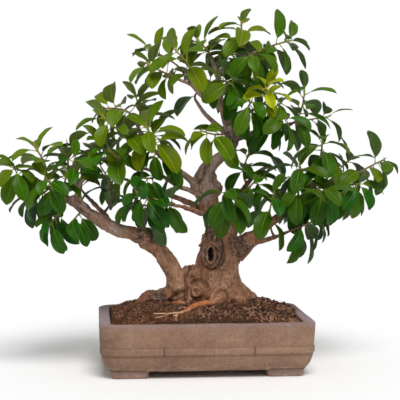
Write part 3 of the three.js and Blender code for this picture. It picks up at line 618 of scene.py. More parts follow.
def leaf_top_material(tone):
    deep, light, _, rib_colour = (linear(*colour) for colour in LEAF_COLOURS[tone])
    shader = Shader(f"leaf_{tone}_top")
    across, along, rib, veins = leaf_patterns(shader)
    own, age, warm = shader.split("Own")
    cloud = shader.noise(55, 3)
    share = shader.plus(shader.times(own, 0.65), shader.times(age, 0.4))
    share = shader.plus(share, shader.span(cloud, 0.35, 0.65, -0.2, 0.2), clamp=True)
    shader.colour = shader.mix(share, deep, light)
    fine = shader.noise(900, 2)
    shader.layer(shader.span(fine, 0.3, 0.7, 0.0, 0.2), light)
    # Painted shade in the groove on each side of the midrib.
    groove = shader.span(across, 0.05, 0.3, 0.45, 0.0)
    shader.layer(groove, deep)
    yellow = {"dark": 0.25, "middle": 0.5, "bright": 0.6, "lime": 0.2}[tone]
    shader.cover(shader.times(warm, yellow), (118, 126, 0))
    # Grey-green patches on some leaves: partly dust, partly a painted sheen.
    dust_and_sheen = shader.span(shader.noise(45, 4, 0.65), 0.48, 0.7, 0.0, 0.34)
    dust_and_sheen = shader.times(dust_and_sheen, shader.span(own, 0.35, 0.8, 0.15, 1.0))
    shader.cover(dust_and_sheen, (92, 108, 78))
    # Painted highlight along the leaf's edge.
    edge = shader.span(across, 0.88, 0.98, 0.0, 0.32)
    shader.layer(edge, rib_colour)
    between = shader.span(along, 0.0, 0.35, 0.15, 0.0)
    shader.layer(between, rib_colour)
    shader.layer(shader.times(veins, 0.24), rib_colour)
    shader.layer(shader.times(rib, 0.72), rib_colour)
    rough = shader.span(shader.noise(120, 3), 0.3, 0.7, 0.27, 0.37)
    shader.bump(shader.total([(rib, -1.0), (veins, -0.7), (shader.noise(260, 2), 0.6)]), 0.0005)
    return shader.finished(rough, 0.13)


def leaf_under_material(tone):
    _, light, under, rib_colour = (linear(*colour) for colour in LEAF_COLOURS[tone])
    shader = Shader(f"leaf_{tone}_under")
    _, _, rib, veins = leaf_patterns(shader)
    own, _, _ = shader.split("Own")
    shader.colour = shader.mix(shader.span(shader.noise(70, 3), 0.3, 0.7, 0.15, 0.6), under, light)
    shader.layer(shader.times(own, 0.3), light)
    shader.layer(shader.times(veins, 0.3), rib_colour)
    shader.layer(shader.times(rib, 0.9), rib_colour)
    height = shader.plus(rib, shader.times(veins, 0.5))
    shader.bump(height, 0.0004, 0.6)
    return shader.finished(0.58, 0.2)


def twig_material(tone):
    """Own: share along the twig (0 at its base), share of green, share of bud."""
    shader = Shader(f"twig_{tone}")
    along, green, bud = shader.split("Own")
    woody = shader.mix(shader.noise(300, 4), linear(104, 76, 58), linear(150, 118, 98))
    young = shader.mix(shader.noise(500, 3), linear(128, 92, 62), linear(146, 124, 70))
    shader.colour = shader.mix(shader.span(along, 0.15, 0.7), woody, young)
    stalk = LEAF_COLOURS[tone][3]
    shader.layer(green, linear(*stalk))
    tip = linear(206, 118, 96) if tone in ("lime", "bright") else linear(150, 150, 74)
    shader.layer(bud, tip)
    shader.bump(shader.noise(700, 3), 0.0004, 0.5)
    return shader.finished(0.5, 0.4)


def bark_material():
    """Bark: shares of rough bark, of painted shade in hollows, and of pale bark. Tone: of red, grey and
    painted shade in the grooves of scars and round the knot.
    """
    shader = Shader("bark")
    rough, hollow, pale = shader.split("Bark")
    red, grey, groove_shade = shader.split("Tone")
    tall = shader.stretched(1.0, 1.0, 0.6)
    flow = shader.noise(90, 5, 0.62, vector=tall, distortion=0.6)
    grain = shader.noise(360, 5, 0.7, vector=tall)
    cloud = shader.noise(24, 5, 0.6)
    shader.colour = shader.ramp(flow, [(0.3, (122, 80, 57)), (0.45, (158, 111, 83)),
                                       (0.58, (178, 131, 101)), (0.74, (204, 162, 132))])
    shader.cover(shader.span(cloud, 0.38, 0.64, 0.0, 0.5), (140, 95, 69))
    smooth = shader.mix(shader.noise(60, 4), linear(172, 134, 107), linear(204, 172, 146))
    shader.layer(shader.times(pale, 0.65), smooth)
    ashen = shader.span(shader.noise(70, 4, 0.6), 0.36, 0.6)
    ash = shader.mix(ashen, linear(158, 139, 128), linear(202, 187, 178))
    shader.layer(shader.times(grey, 0.85), ash)
    shader.cover(shader.times(red, 0.7), (160, 106, 74))
    shader.cover(shader.span(grain, 0.34, 0.48, 0.62, 0.0), (84, 56, 41))
    shader.cover(shader.span(grain, 0.54, 0.68, 0.0, 0.42), (222, 190, 164))

    warp = shader.node("TexNoise", {"Vector": shader.place, "Scale": 70.0, "Detail": 3.0}).outputs["Color"]
    plates = shader.cells(120, "DISTANCE_TO_EDGE", vector=shader.bent(tall, warp, 0.012))
    cracks = shader.times(shader.span(plates, 0.0, 0.1, 1.0, 0.0), rough)
    scaly = shader.times(rough, shader.span(shader.noise(150, 4, 0.7), 0.44, 0.64))
    shader.cover(shader.times(rough, 0.4), (160, 136, 120))
    shader.cover(shader.times(scaly, 0.35), (88, 66, 53))
    shader.cover(shader.times(cracks, 0.6), (46, 32, 25))
    flakes = shader.times(rough, shader.span(shader.noise(240, 4, 0.7), 0.52, 0.62))
    shader.cover(shader.times(flakes, 0.75), (206, 186, 172))

    few = shader.span(shader.noise(38, 3), 0.38, 0.5)
    dots = shader.span(shader.cells(200, vector=shader.stretched(1.0, 1.0, 1.4)), 0.12, 0.3, 1.0, 0.0)
    small_dots = shader.span(shader.cells(430), 0.1, 0.3, 0.7, 0.0)
    dots = shader.math("MAXIMUM", shader.times(dots, few), small_dots)
    dots = shader.times(dots, shader.span(grey, 0.2, 0.9, 1.0, 0.45))
    shader.cover(shader.times(dots, 0.6), (68, 47, 36))
    # Painted shade in the grooves of scars and round the knot.
    shader.cover(shader.times(groove_shade, 0.75), (56, 38, 29))
    # Painted shade in hollows, folds, the knot's mouth and where the wood meets the soil.
    shader.cover(hollow, (36, 24, 17))

    pores = shader.noise(600, 4, 0.65)
    height = [(flow, 1.3), (grain, 0.6), (scaly, -0.4), (cracks, -0.9), (pores, 0.25), (dots, -0.35)]
    shader.bump(shader.total(height), 0.003, 0.9)
    return shader.finished(shader.span(grain, 0.3, 0.7, 0.68, 0.9), 0.2)


def surface_root_material():
    """Own: the share of dark brown bark and of pale thin root."""
    shader = Shader("surface_root")
    brown, thin, _ = shader.split("Own")
    grain = shader.noise(260, 5, 0.62, vector=shader.stretched(0.6, 1.0, 1.0))
    shader.colour = shader.ramp(grain, [(0.3, (112, 60, 34)), (0.5, (170, 102, 62)),
                                       (0.72, (206, 140, 96))])
    bark = shader.ramp(grain, [(0.3, (94, 62, 44)), (0.55, (156, 112, 84)),
                               (0.75, (188, 148, 120))])
    shader.layer(brown, bark)
    shader.cover(shader.times(thin, 0.8), (220, 190, 156))
    shader.bump(grain, 0.0012, 0.8)
    return shader.finished(0.78, 0.2)


def clay_material():
    """Clay: share of rim, of painted shade below edges, in the band's joints, inside the rim and below its
    edge, with the outside darker towards its left end, and of mineral bloom.
    """
    shader = Shader("clay")
    rim, shade, bloom = shader.split("Clay")
    cloud = shader.noise(14, 5, 0.55)
    shader.colour = shader.ramp(cloud, [(0.3, (126, 95, 76)), (0.5, (146, 113, 92)),
                                       (0.72, (160, 128, 107))])
    streak = shader.noise(38, 4, 0.6, vector=shader.stretched(0.25, 0.25, 1.6))
    shader.cover(shader.span(streak, 0.4, 0.7, 0.0, 0.4), (113, 85, 67))
    drips = shader.noise(60, 4, 0.6, vector=shader.stretched(1.0, 1.0, 0.08))
    shader.cover(shader.span(drips, 0.56, 0.72, 0.0, 0.25), (172, 144, 126))
    mottle = shader.noise(260, 4, 0.7)
    shader.cover(shader.span(mottle, 0.36, 0.5, 0.35, 0.0), (104, 78, 66))
    shader.cover(shader.span(mottle, 0.54, 0.68, 0.0, 0.3), (166, 138, 120))
    rim_colour = shader.mix(shader.span(mottle, 0.4, 0.62), linear(142, 124, 128), linear(162, 143, 147))
    shader.layer(shader.times(rim, 0.9), rim_colour)
    sand = shader.cells(620)
    shader.cover(shader.span(sand, 0.0, 0.3, 0.3, 0.0), (84, 60, 47))
    grit = shader.span(shader.cells(190), 0.0, 0.1, 1.0, 0.0)
    shader.cover(shader.times(grit, 0.5), (184, 166, 152))
    patches = shader.times(bloom, shader.span(shader.noise(90, 5, 0.7), 0.46, 0.7))
    shader.cover(shader.times(patches, 0.5), (190, 174, 164))
    # Painted shade, and the outside's darker left end.
    shader.cover(shader.times(shade, 0.55), (78, 56, 43))
    height = shader.plus(shader.noise(800, 4, 0.65), shader.times(cloud, 0.6))
    height = shader.plus(height, shader.times(mottle, 0.5))
    shader.bump(height, 0.0008, 0.6)
    rough = shader.span(shader.noise(160, 4), 0.3, 0.7, 0.62, 0.82)
    return shader.finished(rough, 0.25)


def soil_material():
    shader = Shader("soil")
    crumbs = shader.noise(280, 5, 0.65)
    shader.colour = shader.ramp(crumbs, [(0.25, (38, 24, 15)), (0.5, (92, 64, 46)),
                                       (0.72, (138, 104, 80))])
    clods = shader.cells(240)
    shader.cover(shader.span(clods, 0.0, 0.5, 0.0, 0.45), (42, 27, 17))
    patches = shader.span(shader.noise(30, 4), 0.4, 0.62)
    shader.cover(shader.times(patches, 0.4), (54, 34, 22))
    height = shader.math("SUBTRACT", crumbs, clods)
    shader.bump(height, 0.003, 1.0)
    return shader.finished(0.95, 0.15)


def crumb_material():
    """Own: the crumb's place between dark and light brown, its share of orange, and of white."""
    shader = Shader("soil_crumbs")
    light, orange, white = shader.split("Own")
    shader.colour = shader.mix(light, linear(44, 27, 18), linear(164, 122, 96))
    shader.cover(orange, (154, 92, 56))
    shader.cover(white, (216, 206, 194))
    shader.cover(shader.span(shader.noise(900, 3), 0.35, 0.7, 0.0, 0.45), (50, 31, 21))
    shader.bump(shader.noise(1200, 3), 0.0006, 0.9)
    return shader.finished(0.92, 0.15)


def mesh_material():
    shader = Shader("drain_mesh")
    shader.colour = shader.mix(shader.noise(200, 3), linear(24, 25, 26), linear(44, 45, 46))
    shader.bump(shader.noise(900, 2), 0.0002, 0.3)
    shader.set(Base_Color=shader.colour, Roughness=0.55)
    return shader.material


# The rule that placed the twigs and leaves of the solids

def random_from(seed):
    mask = 0xFFFFFFFF
    state = seed & mask

    def draw():
        nonlocal state
        state = (state + 0x6D2B79F5) & mask
        mixed = ((state ^ (state >> 15)) * (state | 1)) & mask
        mixed ^= (mixed + (((mixed ^ (mixed >> 7)) * (mixed | 61)) & mask)) & mask
        return (mixed ^ (mixed >> 14)) / 4294967296

    return draw


class Twig:
    """A shoot's twig: a curve from its branch, with a ring for each leaf."""

    def __init__(self, number, shoot):
        self.number = number
        self.branch, self.place, tip, self.leaves, self.droop, self.scale, self.tone = shoot
        points = BRANCHES[self.branch]
        index = min(int(self.place), len(points) - 2)
        start, end = np.array(points[index], float), np.array(points[index + 1], float)
        mixed = start + (end - start) * (self.place - index)
        centre, self.branch_radius = mixed[:3], mixed[3]
        axis = unit((end - start)[:3])
        self.at_end = self.place == len(points) - 1
        tip = np.array(tip, float)
        towards = tip - centre
        square = unit(towards - axis * towards.dot(axis))
        self.leaving = axis if self.at_end else square
        self.start = centre + self.leaving * (GAP if self.at_end else self.branch_radius + GAP)
        self.reach = np.linalg.norm(tip - self.start)
        self.bend = self.start + self.leaving * TWIG_BEND * self.reach
        self.tip = tip
        self.rings = self.make_rings()

    def point(self, t):
        return (1 - t) ** 2 * self.start + 2 * (1 - t) * t * self.bend + t * t * self.tip

    def tangent(self, t):
        return unit(self.point(min(t + 1e-4, 1)) - self.point(max(t - 1e-4, 0)))

    def make_rings(self):
        leafy = min(MOST_LEAFY, self.leaves * INTERNODE / self.reach)
        steps = [0, (1 - leafy) / 2]
        for leaf in range(self.leaves):
            steps.append(1 - leafy * (1 - leaf / (self.leaves - 1)) ** 1.4)
        first_turn = random_from(self.number * 7919 + 17)() * TAU
        side = TWIG_SIDE
        rings = []
        for row, step in enumerate(steps):
            tangent = self.tangent(step)
            side = unit(side - tangent * side.dot(tangent))
            across = np.cross(tangent, side)
            radius = TWIG_BASE_RADIUS + (TWIG_TIP_RADIUS - TWIG_BASE_RADIUS) * step
            leaf = max(row - BARE_RINGS, 0)
            azimuth = first_turn + leaf * GOLDEN_ANGLE
            turn = azimuth - math.pi / 3 - (leaf % 3) * (TAU / 3)
            corners = []
            for corner in range(3):
                angle = turn + corner / 3 * TAU
                outward = side * math.cos(angle) + across * math.sin(angle)
                corners.append(self.point(step) + radius * outward)
            rings.append({"step": step, "tangent": tangent, "side": side, "across": across,
                          "azimuth": azimuth, "corners": corners})
        return rings

    def base_middle(self, leaf):
        row, face = leaf + BARE_RINGS, leaf % 3
        after = (face + 1) % 3
        if leaf == self.leaves - 1:
            return sum(self.rings[row]["corners"]) / 3
        here, there = self.rings[row]["corners"], self.rings[row + 1]["corners"]
        return (here[face] + there[after] + there[face]) / 3


class Leaf:
    """One try of one leaf: where it starts, where it points, how it bends and how large it is."""

    def __init__(self, twig, leaf, attempt):
        ring = twig.rings[leaf + BARE_RINGS]
        last = leaf == twig.leaves - 1
        random = random_from(twig.number * 100003 + leaf * 1009 + attempt * 31 + 5)

        def spread(amount):
            return (random() * 2 - 1) * amount

        loosen = min(attempt, 20) / 20
        self.height = leaf / (twig.leaves - 1)
        azimuth = ring["azimuth"] + spread(0.25 + 0.9 * loosen)
        radial = ring["side"] * math.cos(azimuth) + ring["across"] * math.sin(azimuth)
        lift = LIFT - LIFT_LOST_TO_DROOP * twig.droop + LIFT_UP_THE_TWIG * self.height
        lift += spread(0.25 + 0.6 * loosen)
        along_twig = 1.2 if last else ALONG_TWIG + ALONG_TWIG_GAIN * self.height
        direction = radial * (0.35 if last else 0.9)
        direction = direction + ring["tangent"] * along_twig
        self.direction = unit(direction + UP * lift)
        normal = UP + ring["tangent"] * 0.5 - radial * 0.2
        normal = unit(normal - self.direction * normal.dot(self.direction))
        turn = spread(0.45)
        self.normal = normal * math.cos(turn) + np.cross(self.direction, normal) * math.sin(turn)
        self.across = np.cross(self.normal, self.direction)
        young = 1 - YOUNG_LOSS * self.height ** 3
        self.size = twig.scale * young * (0.86 + 0.28 * random()) * (1 - 0.22 * loosen)
        level = math.sqrt(max(0.0, 1 - self.direction[2] ** 2))
        self.bend = (0.3 + 0.7 * level) * (LEAST_BEND + BEND_RANGE * random())
        self.start = twig.base_middle(leaf)
        self.seed = twig.number * 100 + leaf

    def rib(self, place):
        """Points, directions and upward normals on the rib, which is an arc."""
        angle = (self.bend * np.asarray(place, float))[..., None]
        arc = LEAF_LENGTH * self.size / self.bend
        points = self.start + self.direction * arc * np.sin(angle) - self.normal * arc * (1 - np.cos(angle))
        normals = self.normal * np.cos(angle) + self.direction * np.sin(angle)
        return points, normals


def find_leaves(twig, corners):
    """The tries that the solid kept: those whose tip is one of its corners."""
    found = []
    for leaf in range(twig.leaves):
        for attempt in range(TRIES_PER_LEAF):
            candidate = Leaf(twig, leaf, attempt)
            tip, _ = candidate.rib(1.0)
            if (np.abs(corners - tip).max(axis=1) < TIP_MATCH).any():
                found.append(candidate)
                break
    return found


# Detailed leaves

# Share of the leaf's length that is stalk, and the blade's half width along it
STALK_SHARE = 0.15
BLADE_PLACES = [0, 0.05, 0.1, 0.2, 0.35, 0.5, 0.65, 0.78, 0.88, 0.94, 0.975, 1]
BLADE_SHARES = [0.03, 0.17, 0.36, 0.68, 0.93, 1, 0.97, 0.84, 0.61, 0.36, 0.16, 0.01]
BLADE_ROWS = np.array([0, 0.03, 0.08, 0.16, 0.26, 0.37, 0.48, 0.59, 0.69, 0.78, 0.86, 0.92, 0.96, 0.985, 1])
BLADE_COLUMNS = np.array([-1, -0.84, -0.62, -0.36, -0.1, 0, 0.1, 0.36, 0.62, 0.84, 1])
STALK_SIDES = 6
STALK_ROWS = np.array([0, 0.3, 0.65, 1, 1.25]) * STALK_SHARE
STALK_RADII = [1.25, 0.95, 0.8, 0.72, 0.5]


def blade_faces():
    """Faces of the upper grid, and of the lower grid that shares its outer points."""
    rows, count = len(BLADE_ROWS), len(BLADE_COLUMNS)
    upper = np.arange(rows * count).reshape(rows, count)
    lower = upper.copy()
    inner = np.arange((rows - 2) * (count - 2)).reshape(rows - 2, count - 2)
    lower[1:-1, 1:-1] = rows * count + inner
    return grid_faces(upper), [[a, d, c, b] for a, b, c, d in grid_faces(lower)]


def both_sides(top, under):
    """Rows of the upper grid, then of the lower grid's inside."""
    width = top.shape[-1]
    return np.vstack([top.reshape(-1, width), under[1:-1, 1:-1].reshape(-1, width)])


# Blade thickness at the rib, the share of it lost at the edge, and the rib's width, groove and ridge
BLADE_THICK = 0.42
EDGE_LOSS = 0.55
RIB_WIDTH = 0.12
RIB_GROOVE = 0.18
RIB_RIDGE = 0.4

# Ranges of a blade's own fold, arch, waves, twist, curl of the tip and share of the leaf's width
MORE_FOLD = (0.05, 0.4)
ARCH = (0.12, 0.26)
WAVE = (0.3, 1.1)
WAVES_ALONG = 1.6
WAVE_SHIFT = 1.3
TWIST = (-0.16, 0.16)
TIP_CURL = (0, 4.2)
NARROWEST = 0.86
WIDEST = 1.03

# Over the grid of a blade: place along it, place across it from edge to edge, half width and rib
ALONG, ACROSS = np.meshgrid(BLADE_ROWS, BLADE_COLUMNS, indexing="ij")
HALF_SHARES = np.interp(ALONG, BLADE_PLACES, BLADE_SHARES)
THICKNESS = BLADE_THICK * (1 - EDGE_LOSS * np.abs(ACROSS))
RIB = bell(ACROSS, RIB_WIDTH)
FLAT_PLACES = np.stack([0.5 + 0.5 * ACROSS * HALF_SHARES, ALONG], axis=-1)
BLADE_UVS = both_sides(FLAT_PLACES, FLAT_PLACES)
TOP_FACES, UNDER_FACES = blade_faces()
BLADE_SLOTS = [0] * len(TOP_FACES) + [1] * len(UNDER_FACES)

# Shares of its own form that a blade may keep, tried until it is clear of the blades before it
CALMING = [1, 0.75, 0.5, 0.25, 0]
placed_blades = []


def blade_crossings(grid):
    """Number of crossings with the blades placed before it, and the blade's own box and tree of faces."""
    low, high = grid.min(axis=0), grid.max(axis=0)
    tree = BVHTree.FromPolygons(grid.tolist(), TOP_FACES + UNDER_FACES)
    crossings = 0
    for other_low, other_high, other in placed_blades:
        if (low <= other_high).all() and (other_low <= high).all():
            crossings += len(tree.overlap(other))
    return crossings, (low, high, tree)


class Blade:
    """A leaf's blade, with a fold, arch, waves, twist, curl and width of its own."""

    def __init__(self, leaf, random):
        self.leaf = leaf
        self.fold = FOLD + random.uniform(*MORE_FOLD)
        self.arch = random.uniform(*ARCH)
        self.wave = random.uniform(*WAVE)
        wave_turn = random.uniform(0, TAU)
        self.twist = random.uniform(*TWIST)
        self.tip_curl = random.uniform(*TIP_CURL)
        self.wide = random.uniform(NARROWEST, WIDEST)
        ripple = np.sin(ALONG * TAU * WAVES_ALONG + wave_turn + (ACROSS > 0) * WAVE_SHIFT)
        self.waves = ACROSS * ACROSS * ripple * np.sin(ALONG * math.pi)
        self.middle, self.normals = leaf.rib(STALK_SHARE + (1 - STALK_SHARE) * ALONG)

    def grid(self, calm):
        """The blade's points, with the given share of its own form."""
        size = self.leaf.size
        width = min(self.wide, NARROWEST + calm * (WIDEST - NARROWEST))
        half = LEAF_WIDTH * width * size / 2 * HALF_SHARES
        fold = FOLD + calm * (self.fold - FOLD)
        rise = half * (fold * np.abs(ACROSS) - calm * self.arch * ACROSS * ACROSS)
        bend = self.twist * half * ACROSS * ALONG - self.tip_curl * size * ALONG ** 3
        rise = rise + calm * (bend + self.wave * self.waves)
        flat = self.middle + self.leaf.across * (half * ACROSS)[..., None]
        top = rise + THICKNESS / 2 - RIB_GROOVE * RIB * HALF_SHARES
        under = rise - THICKNESS / 2 - RIB_RIDGE * RIB * HALF_SHARES
        return both_sides(flat + self.normals * top[..., None], flat + self.normals * under[..., None])


def clearest_grid(blade):
    """The grid that crosses the blades before it least, keeping as much of its own form as it can."""
    best = None
    for calm in CALMING:
        grid = blade.grid(calm)
        crossings, box_and_tree = blade_crossings(grid)
        if best is None or crossings < best[0]:
            best = (crossings, grid, box_and_tree)
        if crossings == 0:
            break
    placed_blades.append(best[2])
    return best[1]


def add_leaf(pile, leaf):
    """Adds a leaf's blade and stalk. Slots: 0 upper side, 1 underside, 2 twig and stalk."""
    random = np.random.RandomState(7000 + leaf.seed)
    grid = clearest_grid(Blade(leaf, random))
    own = (random.uniform(0, 1), leaf.height ** 2, random.uniform(0, 1) ** 2)
    pile.add(grid, TOP_FACES + UNDER_FACES, BLADE_SLOTS, own, BLADE_UVS)

    stalk, stalk_normals = leaf.rib(STALK_ROWS)
    stalk = stalk - stalk_normals * 0.2
    path = np.column_stack([stalk, STALK_RADII])
    points, faces = loft(tube_rings(path, STALK_SIDES, leaf.across), closed_ends=False)
    pile.add(points, faces, 2, (0.8, 0.85, 0))


TWIG_SIDES = 8
TWIG_ROWS = 34

# The finer twig's radii, how far its foot goes into the branch, and its swelling under each leaf
FINE_BASE_RADIUS = 1.75
FINE_TIP_RADIUS = 1.1
FOOT_DEPTH = 3
SWELLING = 0.32
SWELLING_REACH = 1.5

# The end bud: its length, and its radius at shares of that length
BUD_LENGTH = 9
BUD_SHARES = [-0.1, 0.12, 0.35, 0.6, 0.82, 1.0]
BUD_RADII = [1.0, 1.35, 1.2, 0.85, 0.45, 0.06]


def add_twig(pile, twig):
    """Adds the twig, with a swelling under each leaf, and its end bud."""
    steps = np.linspace(0, 1, TWIG_ROWS)
    centres = [twig.start - twig.leaving * FOOT_DEPTH] + [twig.point(step) for step in steps]
    steps = np.concatenate([[0], steps])
    radii = FINE_BASE_RADIUS + (FINE_TIP_RADIUS - FINE_BASE_RADIUS) * steps
    if twig.at_end:
        radii = radii + (twig.branch_radius * 0.92 - FINE_BASE_RADIUS) * np.exp(-steps * 5)
    else:
        radii = radii + 0.9 * np.exp(-steps * 14)
    for ring in twig.rings[BARE_RINGS:]:
        radii = radii + SWELLING * bell((steps - ring["step"]) * twig.reach, SWELLING_REACH)
    path = np.column_stack([centres, radii])
    along = np.repeat(steps, TWIG_SIDES)
    points, faces = loft(tube_rings(path, TWIG_SIDES, TWIG_SIDE), closed_ends=False)
    green = 0.35 * smooth_step(along, 0.6, 1.0)
    pile.add(points, faces, 2, columns(along, green, 0))

    outward = twig.tangent(1.0)
    bud = [twig.tip + (outward + UP * 0.25 * share) * BUD_LENGTH * share for share in BUD_SHARES]
    path = np.column_stack([bud, BUD_RADII])
    points, faces = loft(tube_rings(path, TWIG_SIDES, TWIG_SIDE))
    pile.add(points, faces, 2, (1, 0.4, 0.8))


def build_shoots():
    for number, shoot in enumerate(SHOOTS):
        twig = Twig(number, shoot)
        node = f"shoot_{number + 1:02d}"
        corners = read_points(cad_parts[node].data)
        pile = Pile()
        add_twig(pile, twig)
        for leaf in find_leaves(twig, corners):
            add_leaf(pile, leaf)
        piece = pile.build(f"leafy_{node}", leaf_materials[twig.tone], "Own", "Leaf")
        mark_leaf_edges(piece.data)
        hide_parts(node)
        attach(piece, "root")


def mark_leaf_edges(mesh):
    """Keeps the shading of a leaf's upper side apart from that of its underside."""
    loop_edges = read_numbers(mesh.loops, "edge_index")
    slots = read_numbers(mesh.polygons, "material_index")
    loop_slots = np.repeat(slots, read_numbers(mesh.polygons, "loop_total"))
    has_top = np.zeros(len(mesh.edges), bool)
    has_under = np.zeros(len(mesh.edges), bool)
    has_top[loop_edges[loop_slots == 0]] = True
    has_under[loop_edges[loop_slots == 1]] = True
    sharp = mesh.attributes.get("sharp_edge") or mesh.attributes.new("sharp_edge", "BOOLEAN", "EDGE")
    sharp.data.foreach_set("value", has_top & has_under)


leaf_materials = {
    tone: [leaf_top_material(tone), leaf_under_material(tone), twig_material(tone)] for tone in LEAF_COLOURS
}
build_shoots()


# Trunk, limbs and roots

# Grain of the joined skin, and how far below the soil it goes on
WOOD_VOXEL = 1.52
BURIED = 7

# Sides of thick and thin branches, the radius from which one is thick, and what softening takes off
THICK_SIDES = 28
THIN_SIDES = 14
THICK_FROM = 12
WOOD_SWELL = 0.3

# Knobs on the roots, right of the knot, on the limbs and the upper trunk: centre, half sizes
KNOBS = [
    ((-91, -10, 121), (9, 9, 9)),
    ((-76, -16, 115), (12, 9, 8)),
    ((-102, -2, 110), (10, 10, 8)),
    ((-60, -22, 119), (9, 9, 8)),
    ((-27, -46, 116), (5.5, 8, 10)),
    ((-40, -44, 112), (9, 7, 5)),
    ((26, -46, 119), (11, 10, 11)),
    ((80, -22, 119), (11, 8, 9)),
    ((97, -18, 107), (11, 8, 7)),
    ((60, -38, 116), (8, 7, 6)),
    ((-3, -12, 204), (6, 5, 3.5)),
    ((49, -20, 207), (8, 7, 9)),
    ((58, -17, 198), (8, 6, 7)),
    ((59, -4, 178), (5, 8, 9)),
    ((-95, -25, 222), (15, 14, 14)),
    ((-104, -34, 214), (7, 7, 8)),
    ((-9, -2, 303), (13, 13, 15)),
    ((20, -5, 299), (14, 12, 15)),
    ((2, -14, 318), (10, 9, 14)),
    ((-192, -12, 262), (9, 8, 7)),
    ((-216, -14, 282), (8, 7, 8)),
    ((-243, -12, 300), (7, 6, 6)),
]

# Healed round scars: centre, radius, height of their rings
SCARS = [
    ((-13, -48, 130), 15, 1.3),
    ((-20, -30, 153), 8, 0.7),
    ((50, -25, 207), 6, 0.7),
]

# Hollows in the front: (x, z), half sizes, depth, shade
HOLLOWS = [
    ((-20, 153), (1.6, 1.9), 3.0, 1.0),
    ((-16, 131), (3.4, 1.6), 2.4, 0.8),
    ((47, 114), (9, 4.5), 4.0, 0.7),
    ((12, 113), (5, 3), 2.5, 0.6),
    ((53, 208), (2.8, 1.6), 2.0, 0.5),
    ((60, 194), (2.2, 3.0), 2.0, 0.5),
    ((44, 216), (1.9, 3.4), 1.6, 0.45),
    ((68, 204), (2.6, 1.6), 1.6, 0.4),
    ((-68, 122), (6, 2.6), 3.0, 0.75),
    ((-84, 112), (7, 2.6), 3.0, 0.75),
    ((-52, 111), (6, 2.6), 3.0, 0.75),
    ((-86, 214), (7, 3.0), 2.5, 0.65),
    ((-108, 222), (3.4, 5), 2.0, 0.6),
    ((-95, 232), (6, 2.2), 2.0, 0.6),
]

# Folds and cracks in the front: line of (x, z), half width, depth, shade
FOLDS = [
    ([(-20, 176), (-24, 165), (-30, 156), (-31, 146), (-29, 136), (-34, 122), (-36, 112)], 2.6, 3.2, 0.75),
    ([(-34, 130), (-46, 124), (-56, 116)], 3.0, 2.6, 0.6),
    ([(-29, 146), (-22, 142), (-14, 145), (-4, 148), (2, 144)], 1.5, 1.4, 0.45),
    ([(2, 144), (8, 134), (6, 122), (0, 114)], 1.6, 1.2, 0.35),
    ([(14, 118), (17, 128), (26, 134), (35, 130), (40, 118)], 1.9, 2.2, 0.55),
    ([(30, 214), (32, 200), (35, 188), (31, 177), (24, 170)], 1.8, 2.4, 0.7),
    ([(20, 168), (11, 166), (3, 170)], 2.0, 2.4, 0.75),
    ([(24, 166), (36, 164), (44, 158)], 1.4, 1.2, 0.4),
    ([(2, 250), (4, 238), (2, 224), (4, 214)], 1.5, 1.8, 0.6),
    ([(10, 258), (12, 244), (11, 230), (13, 216)], 1.3, 1.6, 0.55),
    ([(19, 254), (20, 240), (22, 228), (20, 216)], 1.4, 1.8, 0.6),
    ([(27, 250), (28, 236), (30, 222)], 1.3, 1.6, 0.55),
    ([(-4, 236), (-2, 224), (-5, 212)], 1.3, 1.6, 0.5),
    ([(58, 152), (62, 140), (70, 128)], 1.5, 1.2, 0.35),
    ([(44, 150), (46, 136), (52, 124)], 1.4, 1.0, 0.3),
    ([(-64, 196), (-56, 184), (-52, 172)], 1.2, 0.9, 0.3),
    ([(3, 336), (1, 326), (-3, 316), (-10, 308)], 2.6, 3.0, 0.55),
    ([(20, 326), (16, 314), (20, 304), (30, 296)], 2.4, 2.2, 0.4),
    ([(-22, 300), (-14, 296), (-4, 290)], 2.2, 2.0, 0.45),
    ([(-188, 256), (-200, 262), (-212, 274)], 1.8, 1.8, 0.5),
    ([(-222, 290), (-234, 292), (-246, 302)], 1.8, 1.8, 0.5),
]

# Patches of bark: centre, radius
ROUGH_PATCHES = [
    ((-96, -25, 220), 27), ((-91, 0, 226), 24), ((58, -16, 200), 24), ((10, -32, 192), 22),
    ((10, -26, 230), 27), ((4, -26, 252), 24), ((-78, -14, 112), 26), ((49, 10, 378), 20),
    ((88, -16, 112), 22), ((12, 34, 210), 46), ((30, 44, 130), 42), ((40, 14, 300), 30),
    ((-246, -10, 300), 34), ((-190, -8, 262), 16),
]
PALE_PATCHES = [
    ((6, 0, 306), 26), ((-46, -28, 158), 27), ((-130, -18, 232), 42), ((30, 8, 352), 24),
    ((-205, -12, 272), 50), ((-66, -32, 188), 20), ((52, -12, 246), 20), ((44, -22, 164), 24),
    ((24, -36, 146), 20),
]
GREY_PATCHES = [
    ((4, -8, 306), 40), ((40, 0, 400), 40), ((-142, -14, 236), 26), ((-205, -10, 268), 30),
]

# Pale cut wood at the ends of stubs: centre, radius
CUTS = [((-288, -10, 322), 11), ((30, 10, 492), 9), ((141, -9, 396), 10)]

# Short stubs of branches that were cut off: points (x, y, z, radius)
STUBS = [
    [(-278, -10, 314, 5), (-288, -11, 319, 6), (-295, -12, 326, 5)],
    [(24, 16, 487, 4), (29, 8, 491, 4.2), (32, 2, 494, 3.8)],
    [(132, -8, 401, 3.2), (139, -9, 397, 4.4), (142, -10, 389, 5.2)],
    [(49, 8, 398, 7), (46, -4, 400, 6), (45, -9, 401, 4.5)],
]


